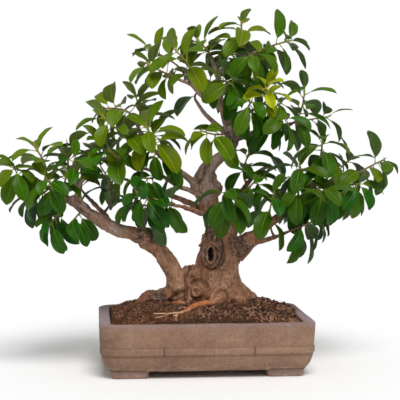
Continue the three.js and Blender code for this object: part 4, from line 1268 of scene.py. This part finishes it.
def mound_height(x, y):
    """Height of the smooth mound of soil, as in the solid."""
    across_x = np.abs(x - MOUND_CENTRE[0]) / (POT_LENGTH / 2)
    across_y = np.abs(y - MOUND_CENTRE[1]) / (POT_WIDTH / 2)
    reach = np.minimum(1, (across_x ** 2.6 + across_y ** 2.6) ** (1 / 2.6))
    ripple = 1.1 * np.sin(x / 13) * np.cos(y / 11)
    return SOIL_EDGE_Z + MOUND_RISE * (1 - reach ** 3) + ripple * (1 - reach)


def ellipsoid_form(centre, sizes, rows=14, sides=24):
    """A closed ellipsoid with a small flat cap at its foot and at its top."""
    turn = round_turn(sides)
    rings = []
    for angle in np.linspace(0.02, math.pi - 0.02, rows):
        level = math.sin(angle)
        ring = columns(np.cos(turn) * level, np.sin(turn) * level, -math.cos(angle))
        rings.append(np.array(centre) + ring * np.array(sizes))
    return loft(rings)


def knot_ring_form():
    """The callus round the oval knot."""
    turns = np.linspace(0, TAU, KNOT_RING_ROWS, endpoint=False)
    path = [
        KNOT_AT + [KNOT_HALF_WIDTH * math.cos(turn), -1, KNOT_HALF_HEIGHT * math.sin(turn)]
        for turn in turns
    ]
    angles = round_turn(KNOT_RING_SIDES)
    tube = KNOT_RING * 0.92
    rings = []
    for turn, centre in zip(turns, path):
        outward = unit(np.array([math.cos(turn), 0, math.sin(turn)]))
        ring = np.outer(np.cos(angles), outward) + np.outer(np.sin(angles), [0, 1, 0])
        rings.append(centre + tube * ring)
    points, faces = loft(rings, closed_ends=False)
    count = len(angles)
    seam = np.array([range(len(points) - count, len(points)), range(count)])
    return points, faces + wrapped_faces(seam)


def wood_forms():
    """Branches, roots, stubs, lumps and the knot's callus as separate closed forms."""
    pile = Pile()
    for points in [*BRANCHES.values(), *ROOTS, *STUBS]:
        path = smooth_path(points, 4)
        path[:, 3] += WOOD_SWELL
        sides = THICK_SIDES if path[0, 3] > THICK_FROM else THIN_SIDES
        pile.add(*loft(tube_rings(rounded_end(path), sides)))
    for centre, sizes in LUMPS + KNOBS:
        pile.add(*ellipsoid_form(centre, sizes))
    pile.add(*knot_ring_form())
    return pile


def patch_share(points, patches, wander):
    """Share of the patches, whose outlines wander with the given noise."""
    share = np.zeros(len(points))
    for centre, radius in patches:
        distance = np.linalg.norm(points - np.array(centre), axis=1) / radius + 0.45 * wander
        share = np.maximum(share, 1 - smooth_step(distance, 0.45, 1.15))
    return share


def each_noise(points, scale, kind):
    """A noise's value at each point."""
    return np.array([kind(Vector(point) * scale) for point in points])


def knot_distance(points):
    """Distance outside the knot's upright slit, negative inside it."""
    x, z = points[:, 0] - SLIT_AT[0], points[:, 2] - SLIT_AT[1]
    share = np.hypot(x / SLIT_HALF_WIDTH, z / SLIT_HALF_HEIGHT) + 1e-6
    away = np.hypot(x, z)
    return away - away / share


def fold_distance(points, line):
    """Distance from a line of (x, z) points, seen from the front."""
    here = points[:, [0, 2]]
    nearest = np.full(len(points), 1e9)
    for start, end in zip(line[:-1], line[1:]):
        start, along = np.array(start, float), np.array(end, float) - start
        share = np.clip((here - start) @ along / (along @ along), 0, 1)
        nearest = np.minimum(nearest, np.linalg.norm(here - start - share[:, None] * along, axis=1))
    return nearest


def scar_lift(points, centre, radius, height, wander):
    """Rings of a healed round scar, and the share of shade in their grooves."""
    away = np.hypot(points[:, 0] - centre[0], (points[:, 2] - centre[2]) * 0.9) + 2.4 * wander
    wave = np.cos(away / radius * TAU * 2.2)
    inside = 1 - smooth_step(away, radius * 0.8, radius * 1.35)
    return height * wave * inside, np.clip(-wave, 0, 1) * inside


def joined_skin():
    """The wood's forms joined into one softened skin."""
    forms = wood_forms().build("wood_forms", [])
    remesh = forms.modifiers.new("remesh", "REMESH")
    remesh.mode = "VOXEL"
    remesh.voxel_size = WOOD_VOXEL * MM
    soften = forms.modifiers.new("soften", "SMOOTH")
    soften.factor = 0.5
    soften.iterations = 3
    mesh = applied_mesh(forms)
    bpy.data.objects.remove(forms)
    return mesh


# Sizes of the broad and the fine relief and of the bark's cells, and heights over which relief grows full
BROAD_SIZE = 17
FINE_SIZE = 6
CELL_SIZE = 7
RELIEF_HEIGHTS = (470, 240)

# Round the knot's slit: distance and width of its lips, inner groove, callus and outer groove
KNOT_BANDS = [(2.4, 1.6), (5.2, 0.9), (8.6, 2.4), (12.6, 1.2)]
KNOT_REACH = 22
KNOT_FADE = (12, 19)

# Where the wood turns grey: heights, and distances to the left
GREY_HEIGHTS = (262, 330)
GREY_LEFT = (110, 170)

# Half length and height of the space below the soil, where the skin is left out
BELOW_SOIL_X = 170
BELOW_SOIL_Z = 125


class Bark:
    """Relief of the wood's skin at its points, and shares of rough and pale bark and of painted shade in
    hollows and in the grooves of scars.
    """

    def __init__(self, points, normals):
        self.points = points
        self.front = (normals[:, 1] < 0.25) & (points[:, 1] < 6)
        tall = points * np.array([1, 1, 0.55])
        self.broad = each_noise(tall, 1 / BROAD_SIZE, noise.noise)
        self.fine = each_noise(tall, 1 / FINE_SIZE, lambda p: noise.turbulence(p, 3, False)) - 0.5
        cells = 0.45 - each_noise(points, 1 / CELL_SIZE, lambda p: noise.voronoi(p)[0][0])
        self.rough = patch_share(points, ROUGH_PATCHES, self.broad)
        self.pale = patch_share(points, PALE_PATCHES, self.broad) * np.clip(0.75 + 0.6 * self.fine, 0, 1)
        thick = np.clip(smooth_step(points[:, 2], *RELIEF_HEIGHTS), 0.25, 1)
        self.lift = thick * (self.broad + 1.2 * self.fine)
        self.lift += self.rough * thick * (2.2 * self.fine + 2.4 * cells)
        # Painted shade where the relief sinks.
        self.hollow = np.clip(-self.lift * 0.16 - 0.12, 0, 0.34)
        self.groove_shade = np.zeros(len(points))

    def dent(self, share, depth, dark):
        """Sinks and darkens the front by a share of the given depth and shade."""
        dent = np.where(self.front, share, 0)
        self.lift -= depth * dent
        self.hollow = np.maximum(self.hollow, dark * dent)

    def add_hollows(self):
        x, _, z = self.points.T
        for (middle_x, middle_z), (half_x, half_z), depth, dark in HOLLOWS:
            away = np.hypot((x - middle_x) / half_x, (z - middle_z) / half_z) + 0.3 * self.broad
            self.dent(np.exp(-away ** 2 * 1.3), depth, dark)

    def add_folds(self):
        """Sinks the folds and raises a low ridge along both sides of each."""
        for line, half_width, depth, dark in FOLDS:
            away = fold_distance(self.points, line) / half_width + 0.5 * self.broad
            self.dent(bell(away, 1), depth, dark)
            self.lift += np.where(self.front, 0.35 * depth * bell(away - 2.4, 1), 0)

    def add_scars(self):
        for centre, radius, height in SCARS:
            # Painted shade in the grooves between a scar's rings.
            rings, groove = scar_lift(self.points, centre, radius, height, self.broad)
            near = self.front & (np.abs(self.points[:, 1] - centre[1]) < 14)
            self.lift += np.where(near, rings, 0)
            self.groove_shade = np.maximum(self.groove_shade, np.where(near, 0.55 * groove, 0))

    def add_knot(self):
        """Shapes the lips, grooves and callus round the open knot, and returns the share of its mouth."""
        x, y, z = self.points.T
        out = knot_distance(self.points) + 1.3 * self.broad + 1.6 * self.fine
        near = self.front & (out < KNOT_REACH) & (y < -10)
        bands = [bell(out - distance, width) for distance, width in KNOT_BANDS]
        lips, inner_groove, callus, outer_groove = bands
        low_right = smooth_step(x - 0.9 * (z - SLIT_AT[1]), 4, 30)
        outer_groove = outer_groove * (0.35 + 0.65 * low_right)
        profile = 2.2 * lips - 1.2 * inner_groove + 1.5 * callus - 2.6 * outer_groove
        fade = 1 - smooth_step(out, *KNOT_FADE)
        mouth = np.where(near, 1 - np.exp(np.minimum(out, 0) / 1.6), 0)
        # Painted shade in the grooves round the knot.
        groove_shades = np.maximum(self.groove_shade * (1 - fade), 0.7 * inner_groove + 0.9 * outer_groove)
        shade = np.maximum(0.93 * mouth, self.hollow * (1 - lips))
        self.lift = np.where(near, self.lift * (1 - 0.6 * fade) + profile, self.lift)
        self.pale = np.where(near, np.maximum(self.pale * (1 - fade), lips), self.pale)
        self.rough = np.where(near, self.rough * (1 - np.clip(lips + 0.6 * callus, 0, 1)), self.rough)
        self.groove_shade = np.where(near, groove_shades, self.groove_shade)
        self.hollow = np.where(near, shade, self.hollow)
        return mouth


def build_wood():
    mesh = joined_skin()
    points = read_points(mesh)
    normals = read_vectors(mesh, "normal")
    ground = mound_height(points[:, 0], points[:, 1])
    bark = Bark(points, normals)
    bark.add_hollows()
    bark.add_folds()
    bark.add_scars()
    mouth = bark.add_knot()

    points = points + normals * bark.lift[:, None]
    points[:, 1] += KNOT_DEPTH * mouth
    x, _, z = points.T
    # Painted shade where the wood goes into the soil.
    near_soil = 1 - smooth_step(z - ground, -1, 7)
    hollow = np.maximum(bark.hollow, 0.45 * near_soil)
    red = 0.6 * (1 - smooth_step(z - ground, 2, 26)) * smooth_step(bark.broad, -0.3, 0.4)
    grey = np.maximum(0.6 * smooth_step(z, *GREY_HEIGHTS), 0.3 * smooth_step(-x, *GREY_LEFT))
    grey_patches = patch_share(points, GREY_PATCHES, bark.broad) * np.clip(0.85 + 0.5 * bark.fine, 0, 1)
    cut = patch_share(points, CUTS, bark.broad)
    pale = np.maximum(bark.pale, cut)
    red = np.maximum(red, 0.5 * cut)
    grey = np.maximum(grey, grey_patches) * (1 - cut)
    move_points(mesh, points)

    piece = link_object("trunk_and_branches", mesh)
    set_point_colour(mesh, "Bark", np.clip(columns(bark.rough, hollow, pale), 0, 1))
    set_point_colour(mesh, "Tone", np.clip(columns(red, grey, bark.groove_shade), 0, 1))
    buried = (z < ground - BURIED) & (np.abs(x) < BELOW_SOIL_X) & (z < BELOW_SOIL_Z)
    remove_points(mesh, buried)
    shade_faces(mesh)
    give_material(mesh, bark_material())
    return piece


def remove_points(mesh, chosen):
    work = bmesh.new()
    work.from_mesh(mesh)
    work.verts.ensure_lookup_table()
    bmesh.ops.delete(work, geom=[work.verts[int(i)] for i in np.flatnonzero(chosen)], context="VERTS")
    work.to_mesh(mesh)
    work.free()


wood = build_wood()
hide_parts("trunk")
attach(wood, "root")


def build_surface_root():
    """The orange root that runs over the soil: a fat brown foot, a bend, and forked pale tips."""
    pile = Pile()
    runs = [
        ([(24, -50, 119, 10), (18, -56, 116, 8), (8, -61, 114, 6), (-6, -66, 113, 5.2),
          (-18, -72, 111, 4.8), (-28, -79, 107, 4.2), (-35, -86, 102.5, 3.4), (-44, -92, 98, 2.8),
          (-54, -97, 94.5, 2.0)], 16),
        ([(-34, -84, 103, 2.8), (-44, -88, 101, 2.1), (-58, -89, 100.5, 1.6), (-72, -88, 101, 1.2),
          (-86, -86, 101, 0.8)], 10),
        ([(-20, -74, 108, 2.0), (-30, -74, 108, 1.4), (-44, -72, 107.5, 1.0)], 8),
        ([(-48, -94, 96, 1.6), (-52, -102, 93, 1.1), (-50, -106, 91, 0.7)], 8),
        ([(-62, -89, 100, 1.2), (-72, -94, 97.5, 0.9), (-84, -96, 96, 0.6)], 8),
        ([(-54, -48, 111, 2.4), (-44, -52, 112, 3.4), (-36, -54, 112, 2.6)], 10),
    ]
    for number, (run, sides) in enumerate(runs):
        path = smooth_path(run, 2.5)
        path[:, 3] *= 1 + 0.2 * each_noise(path[:, :3], 1 / 8, noise.noise)
        ground = soil_top(path[:, 0], path[:, 1])
        path[:, 2] = np.maximum(path[:, 2], ground + path[:, 3] * 0.35)
        path = rounded_end(path)
        points, faces = loft(tube_rings(path, sides))
        along = np.repeat(np.linspace(0, 1, len(path)), sides)
        brown = 1 - smooth_step(along, 0.08, 0.3) if number == 0 else np.zeros(len(points))
        thin = smooth_step(along, 0.6, 1.0) if number in (0, 5) else 0.5 + 0.5 * along
        pile.add(points, faces, 0, columns(brown, thin, 0))
    return pile.build("surface_root", [surface_root_material()], "Own")


# Pot

# Points on the straight sides: closer together where the band's upright joints are
CORNER_STEPS = 12
PLAIN_STOPS = ([0.5], [0.5])
long_side = POT_LENGTH - 2 * POT_CORNER
joint_places = [side * BAND_JOINT_X + step for side in (-1, 1) for step in np.arange(-6, 6.1, 0.8)]
long_places = sorted([*np.arange(-138, 139, 6), *joint_places], reverse=True)
POT_STOPS = ([0.5 - place / long_side for place in long_places], list(np.arange(1, 28) / 28))


def rounded_ring(length, width, corner, z, centre=(0, 0), corner_steps=CORNER_STEPS, stops=PLAIN_STOPS):
    """Points round a rectangle with rounded corners, and at given shares of its straight sides."""
    corner_points = []
    for quarter, (side_x, side_y) in enumerate([(1, 1), (-1, 1), (-1, -1), (1, -1)]):
        for step in range(corner_steps + 1):
            angle = (quarter + step / corner_steps) * (math.pi / 2)
            corner_points.append((
                side_x * (length / 2 - corner) + corner * math.cos(angle) + centre[0],
                side_y * (width / 2 - corner) + corner * math.sin(angle) + centre[1],
            ))
    points = []
    per_corner = corner_steps + 1
    for quarter in range(4):
        points += corner_points[quarter * per_corner:(quarter + 1) * per_corner]
        start = np.array(points[-1])
        end = np.array(corner_points[((quarter + 1) * per_corner) % len(corner_points)])
        points += [tuple(start + (end - start) * stop) for stop in stops[quarter % 2]]
    return np.array([(x, y, z) for x, y in points])


def pot_ring(inset, z):
    corner = max(POT_CORNER - inset, 6)
    return rounded_ring(POT_LENGTH - 2 * inset, POT_WIDTH - 2 * inset, corner, z, stops=POT_STOPS)


# Pot profile from the floor's underside up the outside, over the rim and down inside: (inset, height)
OUTER_PROFILE = [
    (34, 11), (26, 11), (22, 11), (19.5, 11.4), (17, 12.8), (14.6, 14.6), (12.2, 17), (10, 19.8),
    (8.2, 22.8), (6.8, 26), (5.6, 29), (4.6, 32), (3.8, 35), (3.3, 37.4), (3, 38.7), (2.4, 39.3),
    (1.7, 39.9), (1.3, 40.8), (1.15, 42.5), (1.05, 44.5), (1.05, 46.5), (1.15, 48), (1.5, 49),
    (2.1, 49.7), (2.5, 50.2), (2.45, 51.4), (2.2, 54), (1.9, 58), (1.5, 63), (1.1, 68), (0.7, 73),
    (0.35, 78), (0.1, 82), (0, 84.4), (0.25, 86), (0.8, 87.1), (1.7, 87.8), (2.8, 88),
]
INNER_PROFILE = [
    (6, 88.1), (10, 88.1), (14, 88), (16, 87.9), (17.3, 87.5), (18.3, 86.7), (18.8, 85.6), (19, 84),
    (19, 80), (20, 70), (21, 50), (25, 38), (30, 26), (34, 21),
]


def build_pot():
    rings = [pot_ring(inset, z) for inset, z in OUTER_PROFILE + INNER_PROFILE]
    piece = new_object("clay_pot", *loft(rings), [])
    cut_drain_holes(piece)
    mesh = piece.data
    points = read_points(mesh)
    normals = read_vectors(mesh, "normal")

    x, y, z = points.T
    in_band = smooth_step(z, BAND_BOTTOM - 2, BAND_BOTTOM) * (1 - smooth_step(z, BAND_TOP, BAND_TOP + 2))
    on_long_side = (np.abs(y) > POT_WIDTH / 2 - 8) & (np.abs(x) < POT_LENGTH / 2 - POT_CORNER)
    outside = normals[:, 2] < 0.95
    wander = each_noise(points, 1 / 60, noise.noise)
    lift = 0.45 * wander + 0.12 * each_noise(points, 1 / 9, noise.noise)
    joint = np.zeros(len(points))
    cleft = np.zeros(len(points))
    for side in (-1, 1):
        away = (x - side * BAND_JOINT_X) * side
        joint += 0.9 * bell(away + 2.4, 1.2) + 0.5 * bell(away - 2.2, 1.2)
        cleft += bell(away, 1)
    lift += np.where(on_long_side & outside, (joint - 1.6 * cleft) * in_band, 0)
    points = points + normals * lift[:, None]

    rim = smooth_step(z, POT_HEIGHT - 9, POT_HEIGHT - 0.6)
    long_rim = smooth_step(np.abs(y), POT_WIDTH / 2 - RIM_WIDTH - 4, POT_WIDTH / 2 - RIM_WIDTH + 6)
    rim *= 1 - 0.62 * long_rim * (np.abs(x) < POT_LENGTH / 2 - 12)
    # Painted shade under and over the band, in its joints, inside the rim and just below the rim's edge.
    by_band = bell(z - BAND_BOTTOM + 1.5, 1.6) + 0.7 * bell(z - BAND_TOP - 0.8, 1)
    notch = np.where(on_long_side, cleft * in_band, 0)
    inside = smooth_step(z, 86, 80) * (normals[:, 2] > -0.5) * (np.abs(x) < 156) * (np.abs(y) < 110)
    edge = 0.35 * bell(z - 85.5, 1.8)
    # The outside darkens towards its left end.
    darker_left_end = np.where(outside, 0.22 * smooth_step(-x + 30 * wander, 70, 150), 0)
    shade = np.clip(0.75 * by_band + notch + 0.6 * inside + edge + darker_left_end, 0, 1)
    bloom = np.clip(0.6 * smooth_step(z, 30, 12) + 0.2, 0, 1)
    move_points(mesh, points)
    set_point_colour(mesh, "Clay", columns(rim, shade, bloom))
    shade_faces(mesh)
    return piece


# Sides of the drain holes, and the heights between which they are cut
DRAIN_SIDES = 32
DRAIN_CUT = (0, 30)


def cut_drain_holes(piece):
    turns = round_turn(DRAIN_SIDES)
    for side in (-1, 1):
        x, y = side * DRAIN_X + DRAIN_RADIUS * np.cos(turns), DRAIN_RADIUS * np.sin(turns)
        cutter = new_object("drain_cutter", *loft([columns(x, y, z) for z in DRAIN_CUT]), [])
        cut = piece.modifiers.new("cut", "BOOLEAN")
        cut.operation = "DIFFERENCE"
        cut.object = cutter
        mesh = applied_mesh(piece)
        piece.modifiers.clear()
        piece.data = mesh
        bpy.data.objects.remove(cutter)


# Share of the rim's colour on the feet, how uneven they are, and the seed that keeps them the same
FOOT_RIM_TONE = 0.28
FOOT_UNEVEN = 0.25
FOOT_SEED = 5


def build_feet():
    """Four feet, rounded at their lower edges and flaring into the floor above."""
    noise.seed_set(FOOT_SEED)
    profile = [
        (6, 0), (2.4, 0.05), (1.2, 0.35), (0.5, 1.1), (0.1, 2.4), (0, 4), (0, 7), (-0.4, 9.5), (-1.4, 11.2),
        (-3, 13),
    ]
    pile = Pile()
    for side_x in (-1, 1):
        for side_y in (-1, 1):
            x = side_x * (POT_LENGTH / 2 - FOOT_INSET - FOOT_LENGTH / 2)
            y = side_y * (POT_WIDTH / 2 - FOOT_INSET - FOOT_WIDTH / 2)
            rings = []
            for inset, z in profile:
                rings.append(rounded_ring(FOOT_LENGTH - 2 * inset, FOOT_WIDTH - 2 * inset,
                                          max(FOOT_CORNER - inset, 2), z, (x, y), 6))
            points, faces = loft(rings)
            uneven = np.array([noise.noise_vector(Vector(point) / 14) for point in points])
            points = points + FOOT_UNEVEN * uneven * [1, 1, 0]
            # Painted shade at the top of each foot, under the pot.
            shade = 0.5 * smooth_step(points[:, 2], 8, 11.5)
            bloom = 1 - 0.6 * smooth_step(points[:, 2], 1, 9)
            pile.add(points, faces, 0, columns(FOOT_RIM_TONE, shade, bloom))
    return pile.build("pot_feet", [], "Clay")


clay = clay_material()
clay_pot = build_pot()
pot_feet = build_feet()
for piece in (clay_pot, pot_feet):
    give_material(piece.data, clay)
    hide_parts("pot")
    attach(piece, "root")


# Soil

# The soil's edge, counted from the outside of the rim
SOIL_INSET = RIM_WIDTH + 1.2
CRUMBS = 6200
FIBRES = 420
FIBRE_STEPS = 7

# Share of the crumbs that are moved into a strip along the front, and the width of that strip
MORE_IN_FRONT = 0.3
FRONT_STRIP = 30


def soil_top(x, y):
    """Height of the soil with its lumps and the hollow along its left front edge."""
    z = mound_height(x, y)
    lumps = np.array([noise.fractal(Vector((a / 15, b / 15, 3.1)), 0.8, 2.1, 5) for a, b in zip(x, y)])
    hollow = bell(x + 118, 38) * bell(y + 92, 17)
    return z + 2.5 * lumps - 5 * hollow


def build_soil():
    insets = np.concatenate([[0], np.linspace(0.5, 100, 62)])
    rings = [pot_ring(SOIL_INSET, 60.0)]
    for inset in insets:
        ring = pot_ring(SOIL_INSET + inset, 0)
        ring[:, 2] = soil_top(ring[:, 0], ring[:, 1])
        rings.append(ring)
    return new_object("soil_mound", *loft(rings), [soil_material()])


def clear_of_wood(x, y):
    """Whether a place on the soil is outside the foot of the trunk and of its left limb."""
    trunk = ((x - 26) / 47) ** 2 + (y / 47) ** 2
    limb = ((x + 22) / 34) ** 2 + ((y + 6) / 34) ** 2
    return (trunk > 1) & (limb > 1)


# A crumb is a twenty-sided form whose corners are moved in and out
CRUMB_FACES = [
    (0, 1, 2), (0, 2, 3), (0, 3, 4), (0, 4, 5), (0, 5, 1),
    (1, 6, 2), (2, 7, 3), (3, 8, 4), (4, 9, 5), (5, 10, 1),
    (1, 10, 6), (2, 6, 7), (3, 7, 8), (4, 8, 9), (5, 9, 10),
    (6, 11, 7), (7, 11, 8), (8, 11, 9), (9, 11, 10), (10, 11, 6),
]


def crumb_corners():
    """Two tips, and two rings of five corners between them."""
    rings = []
    for shift, z in ((0, 0.447), (0.5, -0.447)):
        for corner in range(5):
            angle = (corner + shift) * TAU / 5
            rings.append((math.cos(angle) * 0.894, math.sin(angle) * 0.894, z))
    return np.array([(0, 0, 1), *rings, (0, 0, -1)])


def build_crumbs():
    random = np.random.RandomState(41)
    corners = crumb_corners()
    half_x, half_y = POT_LENGTH / 2 - SOIL_INSET - 2, POT_WIDTH / 2 - SOIL_INSET - 2
    pile = Pile()
    made = 0
    while made < CRUMBS:
        x, y = random.uniform(-half_x, half_x), random.uniform(-half_y, half_y)
        if random.uniform() < MORE_IN_FRONT:
            y = -half_y + FRONT_STRIP * random.uniform() ** 1.2
        if not clear_of_wood(x, y):
            continue
        if abs(x) > half_x - 12 and abs(y) > half_y - 12 and random.uniform() < 0.6:
            continue
        patch = 0.5 + 0.5 * noise.noise(Vector((x / 22, y / 16, 4.7)))
        patch = min(1, patch + 0.3 * smooth_step(x, -60, 40))
        size = 0.7 + (1.5 + 1.7 * patch) * random.uniform() ** 2.4
        z = soil_top(*np.array([[x], [y]]))[0] + size * random.uniform(-0.1, 0.5)
        form = corners * random.uniform(0.65, 1.25, (12, 1)) * size * random.uniform(0.6, 1.3, 3)
        turn = Matrix.Rotation(random.uniform(0, TAU), 3, random.normal(size=3))
        form = form @ np.array(turn) + (x, y, z)
        kind = random.uniform()
        orange = random.uniform(0.2, 0.7) if kind > 0.94 else 0.3 * smooth_step(-x, -10, 60)
        white = 0.85 if 0.915 < kind < 0.935 and size < 1.4 else 0
        light = random.uniform() ** 1.5 * (0.4 + 1.1 * patch)
        pile.add(form, CRUMB_FACES, 0, (min(light, 1), orange, white))
        made += 1
    piece = pile.build("soil_crumbs", [crumb_material()], "Own")
    shade_faces(piece.data, False)
    return piece


def build_fibres():
    """Thin curled root fibres that lie on the soil."""
    random = np.random.RandomState(77)
    half_x, half_y = POT_LENGTH / 2 - SOIL_INSET - 6, POT_WIDTH / 2 - SOIL_INSET - 6
    pile = Pile()
    made = 0
    while made < FIBRES:
        x, y = random.uniform(-half_x, half_x), random.uniform(-half_y, half_y)
        if not clear_of_wood(x, y):
            continue
        if x > -20 and random.uniform() < 0.7:
            continue
        heading = random.uniform(0, TAU)
        length = random.uniform(6, 28)
        turn = random.uniform(-0.2, 0.2)
        xs, ys = [x], [y]
        for _ in range(FIBRE_STEPS):
            heading += turn * length / FIBRE_STEPS + random.uniform(-0.4, 0.4)
            xs.append(np.clip(xs[-1] + math.cos(heading) * length / FIBRE_STEPS, -half_x, half_x))
            ys.append(np.clip(ys[-1] + math.sin(heading) * length / FIBRE_STEPS, -half_y, half_y))
        xs, ys = np.array(xs), np.array(ys)
        radius = random.uniform(0.22, 0.5)
        share = np.linspace(0, 1, FIBRE_STEPS + 1)
        zs = soil_top(xs, ys) + 0.9 + random.uniform(0, 4.0) * np.sin(share * math.pi)
        radii = radius * (1 - 0.6 * share)
        path = columns(xs, ys, zs, radii)
        pile.add(*loft(tube_rings(path, 5, (0.3, 0.2, 1.0))), 0,
                 (random.uniform(0.5, 1), random.uniform(0.1, 0.8), 0.25 * random.uniform()))
        made += 1
    return pile.build("soil_fibres", [crumb_material()], "Own")


for piece in (build_soil(), build_crumbs(), build_fibres()):
    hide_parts("soil")
    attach(piece, "root")

surface_root = build_surface_root()
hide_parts("trunk")
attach(surface_root, "root")

give_material(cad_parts["drain_mesh"].data, mesh_material())


# Floor, light and camera

# The floor is a disc, with its radius in metres
FLOOR_SIDES = 64
FLOOR_RADIUS = 40


def build_floor():
    turns = round_turn(FLOOR_SIDES)
    ring = columns(np.cos(turns), np.sin(turns), 0) * FLOOR_RADIUS
    mesh = bpy.data.meshes.new("floor")
    mesh.from_pydata(ring.tolist(), [], [tuple(range(FLOOR_SIDES))])
    floor = link_object("floor", mesh)
    shader = Shader("floor")
    shader.set(Base_Color=(0.98, 0.98, 0.98, 1), Roughness=0.9, Specular_IOR_Level=0.1)
    mesh.materials.append(shader.material)


AMBIENT = 0.44
SUN_POWER = 2.3
SUN_SPREAD = math.radians(30)
SUN_HEADING = (-0.1, 0.56, -0.86)


def build_light():
    """A white surrounding that lights less than it shows, and one broad soft sun high in front."""
    world = bpy.data.worlds.new("studio")
    world.use_nodes = True
    nodes, links = world.node_tree.nodes, world.node_tree.links
    background = nodes["Background"]
    background.inputs["Color"].default_value = (1, 1, 1, 1)
    ray = nodes.new("ShaderNodeLightPath")
    strength = nodes.new("ShaderNodeMapRange")
    strength.inputs["To Min"].default_value = AMBIENT
    strength.inputs["To Max"].default_value = 1.0
    links.new(ray.outputs["Is Camera Ray"], strength.inputs["Value"])
    links.new(strength.outputs["Result"], background.inputs["Strength"])
    bpy.context.scene.world = world
    data = bpy.data.lights.new("key", "SUN")
    data.energy = SUN_POWER
    data.angle = SUN_SPREAD
    lamp = link_object("key", data)
    lamp.rotation_euler = Vector(SUN_HEADING).to_track_quat("-Z", "Y").to_euler()


CAMERA_PLACE = (-181.4, -2001.1, 376.8)
CAMERA_SENSOR = 36
CAMERA_LENS = 3 * CAMERA_SENSOR
CAMERA_YAW = math.radians(5.06)
CAMERA_PITCH = math.radians(2.78)


def build_camera():
    data = bpy.data.cameras.new("camera")
    data.sensor_width = CAMERA_SENSOR
    data.lens = CAMERA_LENS
    data.clip_end = 200
    camera = link_object("camera", data)
    camera.location = to_world(CAMERA_PLACE)
    forward = Vector((
        math.sin(CAMERA_YAW) * math.cos(CAMERA_PITCH),
        math.cos(CAMERA_YAW) * math.cos(CAMERA_PITCH),
        -math.sin(CAMERA_PITCH),
    ))
    camera.rotation_euler = forward.to_track_quat("-Z", "Y").to_euler()
    bpy.context.scene.camera = camera


build_floor()
build_light()
build_camera()
bpy.context.scene.view_settings.view_transform = "Standard"
